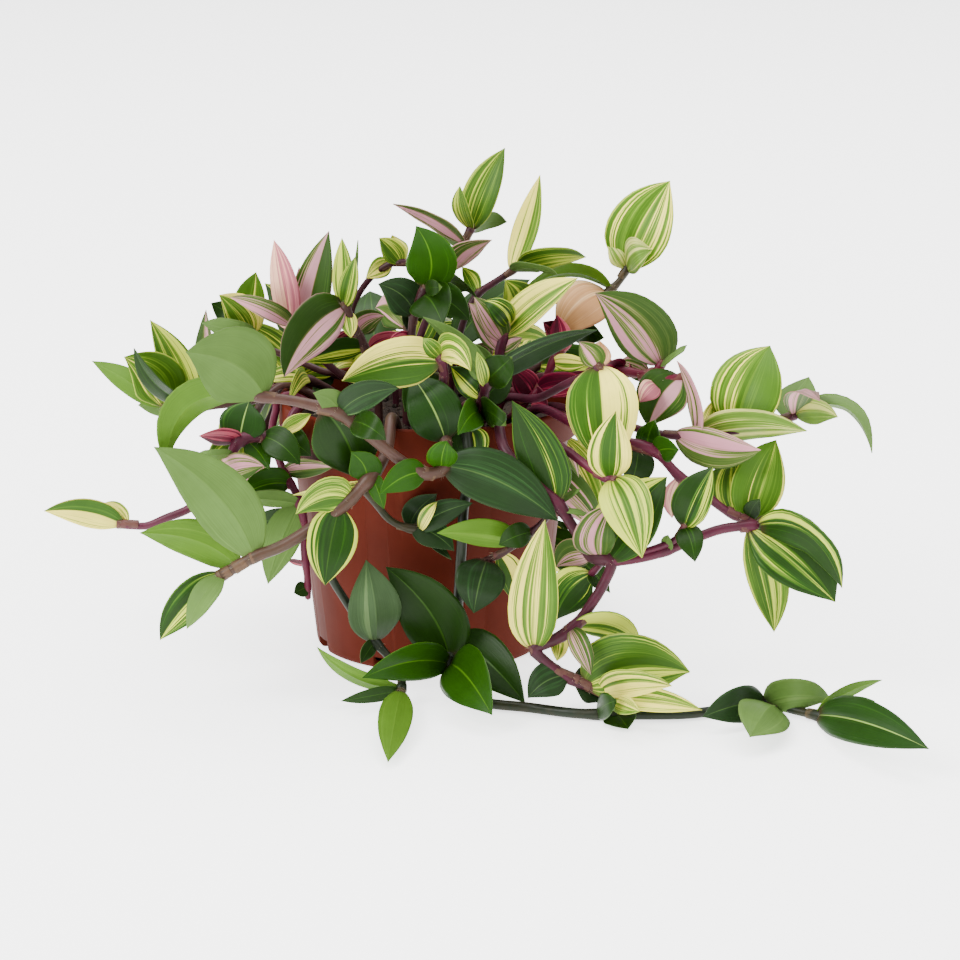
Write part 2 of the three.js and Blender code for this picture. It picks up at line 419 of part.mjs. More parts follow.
// ---- keeping the stems' leaves clear of one another ----------------------------------------------
const CELL = 6;                              // side of the cells that the points are kept in
const LEAF_NEED = 1.6;                       // half the distance that leaves of two stems keep
const SHIFTS = [0, 4, -4, 8, -8, 12, -12, 17, -17, 23, -23, 30, -30];    // of a leaf's tip, nearer or farther
const BOWS = [0, 4, -4, 8, -8];              // of its middle
const TURNS = [0, 25, -25];                  // about its length, in degrees
const SHRINKS = [1, 0.88, 0.75];
const grid = new Map();
const key = (x, y, z) => `${x},${y},${z}`;
const cell = (p) => p.map((v) => Math.floor(v / CELL));
function keep(p, need, owner, outer) {
  const k = key(...cell(p));
  if (!grid.has(k)) grid.set(k, []);
  grid.get(k).push([p, need, owner, outer]);
}
function crowding(p, need, owner, outer) { // how much too close other stems and this one's leaves are
  const [cx, cy, cz] = cell(p);
  let others = 0;
  let own = 0;
  for (let x = cx - 1; x <= cx + 1; x++)
    for (let y = cy - 1; y <= cy + 1; y++)
      for (let z = cz - 1; z <= cz + 1; z++)
        for (const [q, more, other, far] of grid.get(key(x, y, z)) || []) {
          if (other === owner && !(far && outer)) continue;
          const short = need + more - len(sub(p, q));
          if (other === owner) own = Math.max(own, short);
          else others = Math.max(others, short);
        }
  return [others, own];
}
function settle(leaf, owner) {             // the first way of bending the leaf that touches nothing else
  let best = null;
  for (const shrink of SHRINKS) {
    if (best && best.wrong === 0) return best;
    for (const turn of TURNS)
      for (const shift of SHIFTS)
        for (const bow of BOWS) {
          const sections = leafSections(leaf, shift, bow, shrink, turn);
          let wrong = 0;
          let score = 0;
          for (const { p, outer } of leafSamples(sections)) {
            const [others, own] = crowding(p, LEAF_NEED, owner, outer);
            const more = others + Math.max(0, FLOOR_CLEAR - p[2]) + Math.max(0, 1.3 - potGap(p));
            wrong += more;
            score += 20 * more + own;
            if (best && score >= best.score) break;
          }
          if (!best || score < best.score) best = { sections, wrong, score };
          if (best.score === 0) return best;
        }
  }
  return best;
}

// ---- the hidden back of the plant ----------------------------------------------------------------
const BACK_ROOTS = [[-26, 30, 150], [-12, 34, 117], [2, 37, 90], [16, 34, 66], [29, 28, 38], [-37, 20, 168],
  [8, 24, 78], [-4, 22, 104]];           // [x, y, heading in degrees]
function backStems() {
  const draw = draws(2011);
  return BACK_ROOTS.map(([x, y, heading], i) => {
    const a = heading * Math.PI / 180;
    const c = Math.cos(a);
    const s = Math.sin(a);
    const spread = 74 + 13 * draw();
    const fall = (14 + 66 * draw()) * s * s;
    const bend = (draw() - 0.5) * 0.5;
    const at = (r, z, turn) => [r * Math.cos(a + turn), r * Math.sin(a + turn), z];
    const points = i < 6
      ? [at(58, POT_H + 4.2, 0), at(66, POT_H - 1, bend * 0.3), at(spread - 2, POT_H - 16, bend * 0.6),
        at(spread, POT_H - 16 - fall * 0.5, bend), at(spread - 2, POT_H - 16 - fall, bend * 1.4)]
      : [[x + 4 * c, y + 4 * s, SOIL_TOP + 16], [x + 12 * c, y + 12 * s, SOIL_TOP + 25],
        [x + 24 * c, y + 24 * s, SOIL_TOP + 27]];
    const seed = Math.floor(7000 + draw() * 1000);
    return { name: `back_${i + 1}`, foot: [x, y], radius: 1.7, points, seed };
  });
}
function backLeaves(seed, axis) {            // leaves on alternate sides, some 13 to 22 mm apart
  const draw = draws(seed);
  const out = [];
  let gone = 0;
  let next = 20;
  let flip = 1;
  for (let i = 1; i < axis.length; i++) {
    const step = sub(axis[i], axis[i - 1]);
    gone += len(step);
    if (gone < next && i < axis.length - 1) continue;
    next = gone + 13 + 9 * draw();
    flip = -flip;
    const along = unit(step);
    const outward = unit([axis[i][0], axis[i][1], 0]);
    const side = mul(unit(cross(along, outward)), flip * (0.75 + 0.3 * draw()));
    const aside = add(mul(side, i === axis.length - 1 ? 0.2 : 1), mul(along, 0.7 + 0.4 * draw()));
    const way = unit(add(aside, mul(outward, 0.25 + 0.35 * draw())));
    const long = 30 + 15 * draw();
    const tip = add(axis[i], mul(way, long));
    tip[2] = Math.max(tip[2], 4);
    const width = long * (0.38 + 0.08 * draw());
    const roll = 150 + 60 * draw();
    const arch = 3 + 3 * draw();
    const kind = "DDACGS"[Math.floor(6 * draw())];
    out.push({ base: axis[i], tip, hidden: true, width, roll, arch, kind });
  }
  return out;
}

// ---- solids --------------------------------------------------------------------------------------
function solid(verts, tris) {
  let volume = 0;
  for (const [a, b, c] of tris) volume += dot(verts[a], cross(verts[b], verts[c]));
  const list = volume < 0 ? tris.map(([a, b, c]) => [a, c, b]) : tris;
  return new wasm.Manifold(new wasm.Mesh({
    numProp: 3, vertProperties: Float32Array.from(verts.flat()), triVerts: Uint32Array.from(list.flat()),
  }));
}
function tube(axis, radius) {
  const verts = [];
  const tris = [];
  const n = STEM_SIDES;
  const end = axis.length - 1;
  const wide = 0.94 * radius / Math.cos(Math.PI / n);
  let side = [1, 0, 0];
  axis.forEach((p, i) => {
    const along = unit(sub(axis[Math.min(i + 1, end)], axis[Math.max(i - 1, 0)]));
    side = unit(sub(side, mul(along, dot(side, along))));
    const other = cross(along, side);
    for (let k = 0; k < n; k++) {
      const a = 2 * Math.PI * k / n;
      verts.push(add(p, add(mul(side, wide * Math.cos(a)), mul(other, wide * Math.sin(a)))));
    }
  });
  const first = verts.length;
  const last = first + 1;
  verts.push(axis[0], add(axis[end], mul(unit(sub(axis[end], axis[end - 1])), radius * 0.7)));
  for (let i = 0; i < end; i++)
    for (let k = 0; k < n; k++) {
      const a = i * n + k;
      const b = i * n + (k + 1) % n;
      tris.push([a, b, b + n], [a, b + n, a + n]);
    }
  for (let k = 0; k < n; k++) {
    const after = (k + 1) % n;
    tris.push([first, after, k], [last, end * n + k, end * n + after]);
  }
  return solid(verts, tris);
}
function blade(sections) {
  const rows = sections.slice(0, -1);
  const m = BLADE_T / 2;
  const r = RIB_T / 2;
  const ring = sections[0].flat ? [[-1, m], [1, m], [1, -m], [-1, -m]]
    : [[-1, m], [0, r], [1, m], [1, -m], [0, -r], [-1, -m]];
  const n = ring.length;
  const verts = rows.flatMap((s) => ring.map(([u, high]) => bladePoint(s, u, high)));
  const tris = [];
  const tip = verts.length;
  verts.push(sections[sections.length - 1].at);
  for (let i = 0; i + 1 < rows.length; i++)
    for (let k = 0; k < n; k++) {
      const a = n * i + k;
      const b = n * i + (k + 1) % n;
      const c = a + n;
      const d = b + n;
      if (k === 0 || k === n - 2 || k === n - 1) tris.push([a, b, d], [a, d, c]);
      else tris.push([a, b, c], [b, d, c]);
    }
  for (let k = 1; k < n - 1; k++) tris.push([0, k + 1, k]);
  const e = n * (rows.length - 1);
  for (let k = 0; k < n; k++) tris.push([e + k, e + (k + 1) % n, tip]);
  return solid(verts, tris);
}
function fuse(parts) {                      // one body, with any pocket closed in between leaves filled
  const pieces = wasm.Manifold.union(parts).simplify(MERGE).decompose();
  return pieces.reduce((a, b) => (b.volume() > a.volume() ? b : a));
}
function shape(geometry) {                   // a closed three.js geometry as a solid
  geometry.deleteAttribute("normal");
  geometry.deleteAttribute("uv");
  const merged = mergeVertices(geometry, 1e-4);
  const at = merged.attributes.position;
  const index = merged.index.array;
  const verts = [];
  const tris = [];
  for (let i = 0; i < at.count; i++) verts.push([at.getX(i), at.getY(i), at.getZ(i)]);
  for (let i = 0; i < index.length; i += 3) {
    const [p, q, r] = index.slice(i, i + 3);
    if (p !== q && q !== r && r !== p) tris.push([p, q, r]);
  }
  return solid(verts, tris);
}
const POT_SIDES = 36;
const innerRadius = (z) => FOOT_R - WALL + (WALL_TOP_R - FOOT_R) * z / (POT_H - COLLAR_H);
function pot() {
  const under = POT_H - COLLAR_H;
  const chamfer = 1.2;
  const lip = 2.2;
  const profile = [[0, 0], [FOOT_R - chamfer, 0], [FOOT_R, chamfer], [WALL_TOP_R, under], [RIM_R, under],
    [RIM_R, POT_H - 0.8], [RIM_R - 0.8, POT_H], [RIM_R - lip, POT_H], [RIM_R - lip - 0.7, under + 1],
    [innerRadius(under), under - 2], [innerRadius(BASE_T), BASE_T], [0, BASE_T]];
  const turned = new THREE.LatheGeometry(profile.map(([r, z]) => new THREE.Vector2(r, z)), POT_SIDES);
  let body = shape(turned.rotateX(Math.PI / 2));
  for (let k = 0; k < NOTCHES; k++) {
    const notch = new THREE.BoxGeometry(5, NOTCH_W, NOTCH_H + 1);
    notch.translate(FOOT_R - 0.6, 0, NOTCH_H / 2 - 0.5);
    body = body.subtract(shape(notch.rotateZ(2 * Math.PI * (k + 0.5) / NOTCHES)));
  }
  return body;
}
function soil(stems) {
  const inner = (z) => innerRadius(z) - GAP;
  const low = BASE_T + GAP;
  const mid = POT_H - COLLAR_H - 2;
  const step = low + NOTCH_H;
  const draw = draws(31);
  const sides = 18;
  const verts = [];
  const tris = [];
  const ring = (r, z, rough) => {
    const row = [];
    for (let k = 0; k < sides; k++) {
      const a = 2 * Math.PI * k / sides;
      verts.push([r * Math.cos(a), r * Math.sin(a), z + rough * (draw() - 0.5)]);
      row.push(verts.length - 1);
    }
    return row;
  };
  const rows = [ring(inner(step) - 6, low, 0), ring(inner(step + 1) - 4.5, step + 1, 0),
    ring(inner(step + 3) - 0.7, step + 3, 0), ring(inner(mid) - 0.6, mid - 0.3, 0),
    ring(inner(mid) - 0.2, SOIL_TOP - 0.6, 0.5),
    ...[40, 27, 13].map((r) => ring(r, SOIL_TOP + 0.2, 2.4))];
  verts.push([0, 0, low], [0, 0, SOIL_TOP + 0.4]);
  const foot = verts.length - 2;
  const top = foot + 1;
  for (let i = 0; i + 1 < rows.length; i++)
    for (let k = 0; k < sides; k++) {
      const n = (k + 1) % sides;
      tris.push([rows[i][k], rows[i][n], rows[i + 1][n]], [rows[i][k], rows[i + 1][n], rows[i + 1][k]]);
    }
  for (let k = 0; k < sides; k++) {
    const n = (k + 1) % sides;
    const last = rows[rows.length - 1];
    tris.push([foot, rows[0][n], rows[0][k]], [top, last[k], last[n]]);
  }
  let body = solid(verts, tris);
  for (const s of stems) {
    const wide = (s.radius + GAP + 0.1) / Math.cos(Math.PI / STEM_SIDES);
    const deep = SOIL_TOP + 6 - ROOT_Z;
    const hole = new THREE.CylinderGeometry(wide, wide, deep, STEM_SIDES);
    hole.rotateX(Math.PI / 2).rotateZ(Math.PI / 2);
    body = body.subtract(shape(hole.translate(s.foot[0], s.foot[1], ROOT_Z - GAP + deep / 2)));
  }
  return body;
}

// ---- everything in place -------------------------------------------------------------------------
const COLOURS = { pot: 0x8a4636, soil: 0x2c1d14, leaves: 0x5b8a3c };
function node(name, body, colour) {
  const mesh = body.getMesh();
  const geometry = new THREE.BufferGeometry();
  geometry.setAttribute("position", new THREE.Float32BufferAttribute(mesh.vertProperties, 3));
  geometry.setIndex([...mesh.triVerts]);
  const paint = new THREE.MeshStandardMaterial({ color: colour, roughness: 0.6 });
  const out = new THREE.Mesh(mergeVertices(geometry, 1e-4), paint);
  out.name = name;
  return out;
}
function seenStem([name, foot, radius, way, marks, shoots]) {
  const [deep, ...free] = stemAxis(foot, radius, way, marks);
  const main = { radius, axis: [deep, ...straighten(free, SLACK)] };
  const lines = [main, ...shoots.map(([thin, places]) => {
    const [from, ...rest] = places;
    const points = [nearestOn([main], from[0], from[1]), ...rest.map((mark) => place(mark, thin))];
    return { radius: thin, axis: straighten(curve(points, FINE), SLACK) };
  })];
  const leaves = LEAVES[name].map(([bx, by, tx, ty, dn, width, roll, arch, kind]) => {
    const base = nearestOn(lines, bx, by);
    const tip = dn === "g" ? lying(tx, ty, 4) : seen(tx, ty, dn - base[1]);
    return { base, tip, width: width * BREADTH, roll, arch, kind };
  });
  return { name, foot, radius, lines, leaves };
}
function hiddenStem({ name, foot, radius, points, seed }) {
  const start = [[...foot, ROOT_Z], [...foot, SOIL_TOP + 3]];
  const [deep, ...free] = aboveSoil(curve([...start, ...points], FINE), foot, radius);
  const bent = straighten(free, SLACK);
  const lines = [{ radius, axis: [deep, ...bent] }];
  return { name, foot, radius, lines, leaves: backLeaves(seed, curve(bent, FINE)) };
}
function keepStem(stem, owner) {
  for (const { axis, radius } of stem.lines)
    for (let k = 0; k + 1 < axis.length; k++) {
      const n = Math.ceil(len(sub(axis[k + 1], axis[k])) / 2);
      for (let j = 0; j <= n; j++)
        keep(add(mul(axis[k], 1 - j / n), mul(axis[k + 1], j / n)), radius + 0.2, owner, false);
    }
}
function grow() {                            // the largest leaves find their places first
  const stems = [...STEMS.map(seenStem), ...backStems().map(hiddenStem)];
  stems.forEach(keepStem);
  const all = stems.flatMap((stem, owner) => stem.leaves.map((leaf) => ({ leaf, owner })));
  const size = ({ leaf }) => len(sub(leaf.tip, leaf.base)) * leaf.width;
  all.sort((a, b) => size(b) - size(a));
  for (const { leaf, owner } of all) {
    leaf.done = settle(leaf, owner);
    const small = len(sub(leaf.tip, leaf.base)) < 22;
    leaf.left = leaf.done.wrong > (leaf.hidden ? 0 : 0.5) && (leaf.hidden || small);
    if (leaf.left) continue;
    for (const { p, outer } of leafSamples(leaf.done.sections)) keep(p, LEAF_NEED, owner, outer);
  }
  return stems;
}

const plant = grow();
const root = new THREE.Group();
root.name = "potted_tradescantia";
root.add(node("pot", pot(), COLOURS.pot));
root.add(node("soil", soil(plant), COLOURS.soil));
for (const s of plant) {
  const parts = [...s.lines.map((l) => tube(l.axis, l.radius)),
    ...s.leaves.filter((l) => !l.left).map((l) => blade(l.done.sections))];
  root.add(node(`stem_${s.name}`, fuse(parts), COLOURS.leaves));
}
export default root;
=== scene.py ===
"""Looks of the potted trailing plant: leaves, stems, soil and pot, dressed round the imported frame."""
import itertools
import math
from collections import namedtuple

import bpy
import numpy as np
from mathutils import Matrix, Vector
from mathutils.kdtree import KDTree


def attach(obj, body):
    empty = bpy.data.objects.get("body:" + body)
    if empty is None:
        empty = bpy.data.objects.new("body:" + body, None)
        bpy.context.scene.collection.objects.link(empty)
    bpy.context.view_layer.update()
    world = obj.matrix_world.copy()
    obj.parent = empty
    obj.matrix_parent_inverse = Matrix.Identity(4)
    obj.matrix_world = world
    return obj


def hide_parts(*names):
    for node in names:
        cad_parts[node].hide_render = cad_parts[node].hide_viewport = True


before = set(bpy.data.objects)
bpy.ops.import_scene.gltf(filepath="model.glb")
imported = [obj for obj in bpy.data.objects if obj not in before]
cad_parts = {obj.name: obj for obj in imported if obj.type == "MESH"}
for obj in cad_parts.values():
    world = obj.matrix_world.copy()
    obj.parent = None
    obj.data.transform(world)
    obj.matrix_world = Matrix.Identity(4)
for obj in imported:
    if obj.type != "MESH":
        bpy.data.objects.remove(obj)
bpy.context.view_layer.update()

MM = 0.001

# ---- driving dimensions in mm, as in the part's source ----
RIM_R = 60             # outer radius of the rim
POT_H = 101.5          # pot height
COLLAR_H = 13          # depth of the collar under the rim
COLLAR_STEP = 4.4      # how far the collar stands out from the wall
FOOT_R = 46            # outer radius of the foot
WALL = 1.6             # wall thickness
BASE_T = 2.2           # thickness of the pot's bottom
NOTCHES = 8            # drainage notches round the edge of the foot
NOTCH_W = 9
NOTCH_H = 5
SOIL_TOP = 91.5        # height of the soil surface
ROOT_Z = 66            # how deep a stem stands in its hole
STEM_FREE = 3          # a stem stands straight up to this height above the soil
FINE = 2.5             # longest step along a stem's curve
SLACK = 1.0            # how far a stem's straight pieces may cut its bends
NECK_W = 1.8           # width of a leaf where it joins the stem
FOLD = 0.2             # how steeply the two halves of a blade rise from the midrib
BREADTH = 1.07         # a folded blade is this much wider than it looks
TIP_Z = 4              # height of a leaf's tip on the ground, and the least on the hidden stems
SAMPLE = 2.6           # spacing of the points that keep leaves apart
STEM_SAMPLE = 2        # spacing of such points along a stem
LEAF_NEED = 1.6        # a leaf's share of the distance between its points and another piece's
STEM_NEED = 0.2        # the same for a stem, past its radius
STEM_CLEAR = 0.45      # a stem's distance from pot, soil and ground
POT_CLEAR = 1.3        # a leaf's distance from pot and soil
FLOOR_CLEAR = 1.3      # a leaf's distance from the ground
MAY_TOUCH = 0.5        # a small leaf that comes closer than it should by more than this is left out
SMALL_LEAF = 22        # length of such a leaf

# The ways of bending a leaf clear, in the order they are tried: its share of its length, its roll in degrees,
# and the shift of its tip and the bow of its middle towards the viewer.
SHRINKS = [1, 0.88, 0.75]
TURNS = [0, 25, -25]
SHIFTS = [0, 4, -4, 8, -8, 12, -12, 17, -17, 23, -23, 30, -30]
BOWS = [0, 4, -4, 8, -8]

# ---- the leafy stems seen in the photograph ----
# name, foot in the soil (x, y), radius, tone, way out ("rim" over the edge, "free" straight up), route
# (px, py, mm nearer than the pot's axis, or "g" on the ground), side shoots (radius, tone, route)
# tone: 0 crimson, 0.2 magenta, 0.4 maroon, 0.6 pinkish brown, 0.8 olive brown, 1 grey green
STEMS = [
    ("crown", (-4, 6), 1.5, 0.4, "free", [(418, 345, 8), (427, 318, 8), (438, 295, 6), (449, 275, 4),
     (459, 254, 2), (466, 238, 0), (471, 229, 0)], []),
    ("cream_arm", (8, -2), 1.4, 0.38, "free", [(456, 350, 20), (465, 318, 19), (478, 294, 16),
     (495, 282, 14), (512, 271, 12), (519, 266, 12)], []),
    ("fan_arm", (22, 7), 1.6, 0.85, "free", [(528, 358, 10), (562, 330, 12), (592, 305, 13), (611, 290, 12),
     (621, 279, 11), (627, 268, 10)], []),
    ("lilac_arm", (34, 2), 1.6, 0.05, "free", [(560, 376, 26), (590, 374, 32), (622, 371, 35),
     (645, 374, 36), (657, 370, 36), (662, 363, 36)], []),
    ("dark_pink", (36, -8), 1.5, 0.05, "free", [(560, 393, 26), (586, 399, 38), (612, 402, 46),
     (640, 394, 47), (652, 386, 47), (667, 379, 46), (680, 377, 45)], []),
    ("right_high", (38, -17), 1.5, 0.34, "rim", [(600, 420, 54), (628, 426, 56), (655, 433, 58),
     (690, 436, 60), (720, 432, 61), (750, 428, 60), (780, 421, 58), (795, 415, 57)], []),
    ("right_mid", (34, -25), 1.8, 0.2, "rim", [(598, 436, 64), (632, 443, 67), (656, 452, 69),
     (680, 477, 70), (698, 488, 70), (718, 505, 70), (735, 516, 70), (749, 520, 70)], []),
    ("cream_star", (28, -31), 1.7, 0.12, "rim", [(560, 446, 66), (573, 455, 70), (590, 468, 75),
     (604, 477, 79), (613, 479, 81)], []),
    ("big_stripe", (20, -26), 1.6, 0.3, "free", [(538, 398, 48), (568, 383, 56), (590, 373, 61),
     (598, 367, 63)], []),
    ("knot", (24, -38), 2.05, 0.32, "rim", [(505, 450, 67), (530, 478, 72), (556, 502, 75), (575, 530, 79),
     (592, 555, 83), (611, 562, 86), (603, 585, 88), (588, 609, 90), (573, 628, 91), (552, 641, 92),
     (534, 648, 93), (551, 666, 94), (571, 679, 95), (600, 691, 96), (613, 701, 97)], [
     (1.9, 0.22, [(610, 562, 86), (634, 559, 86), (656, 554, 86), (690, 541, 84), (706, 534, 83),
      (722, 529, 82), (745, 526, 80), (758, 526, 79)]),
     (1.3, 0.2, [(666, 551, 85), (676, 539, 87), (684, 527, 88)]),
     (1.2, 0.2, [(604, 560, 85), (598, 567, 83), (591, 574, 81)]),
     (1.3, 0.45, [(555, 505, 75), (543, 522, 73), (520, 541, 68), (501, 554, 65), (487, 560, 63)])]),
    # floor_trail lies low in the shade under the plant: its darkest grey-green tone is partly its own colour
    # and partly painted shade
    ("floor_trail", (9, -41), 2.0, 1.0, "rim", [(470, 470, 66), (464, 505, 66), (462, 540, 65),
     (459, 590, 63), (456, 628, 62), (449, 655, 64), (453, 684, 70), (480, 702, "g"), (530, 708, "g"),
     (580, 714, "g"), (640, 715, "g"), (690, 714, "g"), (735, 708, "g"), (765, 704, "g"), (800, 712, "g"),
     (828, 718, "g")], []),
    ("long_left", (-1, -41), 2.15, 0.6, "rim", [(446, 446, 67), (443, 468, 73), (424, 474, 77),
     (400, 460, 79), (363, 431, 81), (340, 413, 81), (312, 405, 81), (288, 400, 81), (262, 397, 80),
     (252, 395, 79)], []),
    ("low_left", (-12, -39), 2.25, 0.64, "rim", [(387, 450, 70), (377, 470, 76), (362, 487, 79),
     (345, 504, 81), (316, 525, 84), (282, 546, 86), (254, 557, 87), (236, 567, 87), (222, 575, 87)], [
     (1.6, 1.0, [(318, 524, 84), (322, 548, 79), (329, 573, 76), (345, 600, 74), (363, 627, 73),
      (378, 645, 74), (392, 661, 77), (402, 678, 82), (401, 690, 88)]),
     # this shoot lies in the shade under the leaves: its dark tone is partly painted shade
     (1.4, 0.9, [(362, 487, 79), (376, 504, 68), (390, 520, 63), (404, 527, 61), (420, 530, 61)])]),
    ("left_arm", (-35, -22), 1.7, 0.24, "rim", [(283, 430, 36), (262, 437, 42), (240, 440, 45),
     (228, 462, 47), (214, 487, 49), (190, 508, 50), (166, 518, 51), (145, 526, 51), (122, 524, 51)], []),
    ("left_hang", (-41, -10), 1.5, 0.12, "rim", [(272, 430, 16), (281, 465, 26), (298, 498, 34),
     (304, 525, 36), (304, 550, 36), (307, 575, 36), (308, 598, 36)], []),
    ("left_back", (-41, 5), 1.6, 0.5, "rim", [(262, 398, -4), (235, 403, -2), (205, 406, 0), (182, 406, 2),
     (165, 406, 3)], []),
    ("left_up", (-29, 13), 1.4, 0.45, "free", [(325, 372, -8), (290, 357, -10), (262, 346, -9),
     (249, 333, -8), (244, 318, -8)], []),
    ("pink_pair", (-28, 0), 1.5, 0.4, "free", [(345, 378, 6), (320, 357, 9), (301, 338, 10),
     (290, 322, 9)], []),
    ("green_pink", (-20, -9), 1.6, 0.5, "free", [(374, 374, 16), (364, 346, 19), (352, 322, 21),
     (344, 306, 21)], []),
    ("bow", (-14, 18), 1.3, 0.38, "free", [(380, 360, -18), (357, 337, -18), (351, 315, -17),
     (360, 292, -16), (378, 271, -14), (396, 262, -13), (410, 263, -12)], []),
    ("green_crown", (-9, -14), 1.6, 0.42, "free", [(410, 372, 24), (411, 342, 28), (414, 315, 30),
     (420, 298, 32), (425, 288, 33)], []),
    ("half_cream", (2, -24), 1.6, 0.28, "free", [(440, 402, 50), (444, 382, 59), (443, 364, 64),
     (439, 356, 66)], []),
    ("grey_star", (12, -18), 1.7, 0.3, "free", [(478, 420, 44), (481, 406, 52), (485, 390, 57),
     (487, 377, 60)], []),
    ("striped_mid", (17, -7), 1.6, 0.25, "free", [(497, 376, 26), (500, 353, 30), (505, 335, 32),
     (515, 322, 30), (520, 311, 28)], []),
    ("crimson", (27, -5), 1.6, 0.0, "free", [(531, 398, 26), (545, 380, 27), (553, 362, 27), (563, 345, 25),
     (573, 334, 24)], []),
]

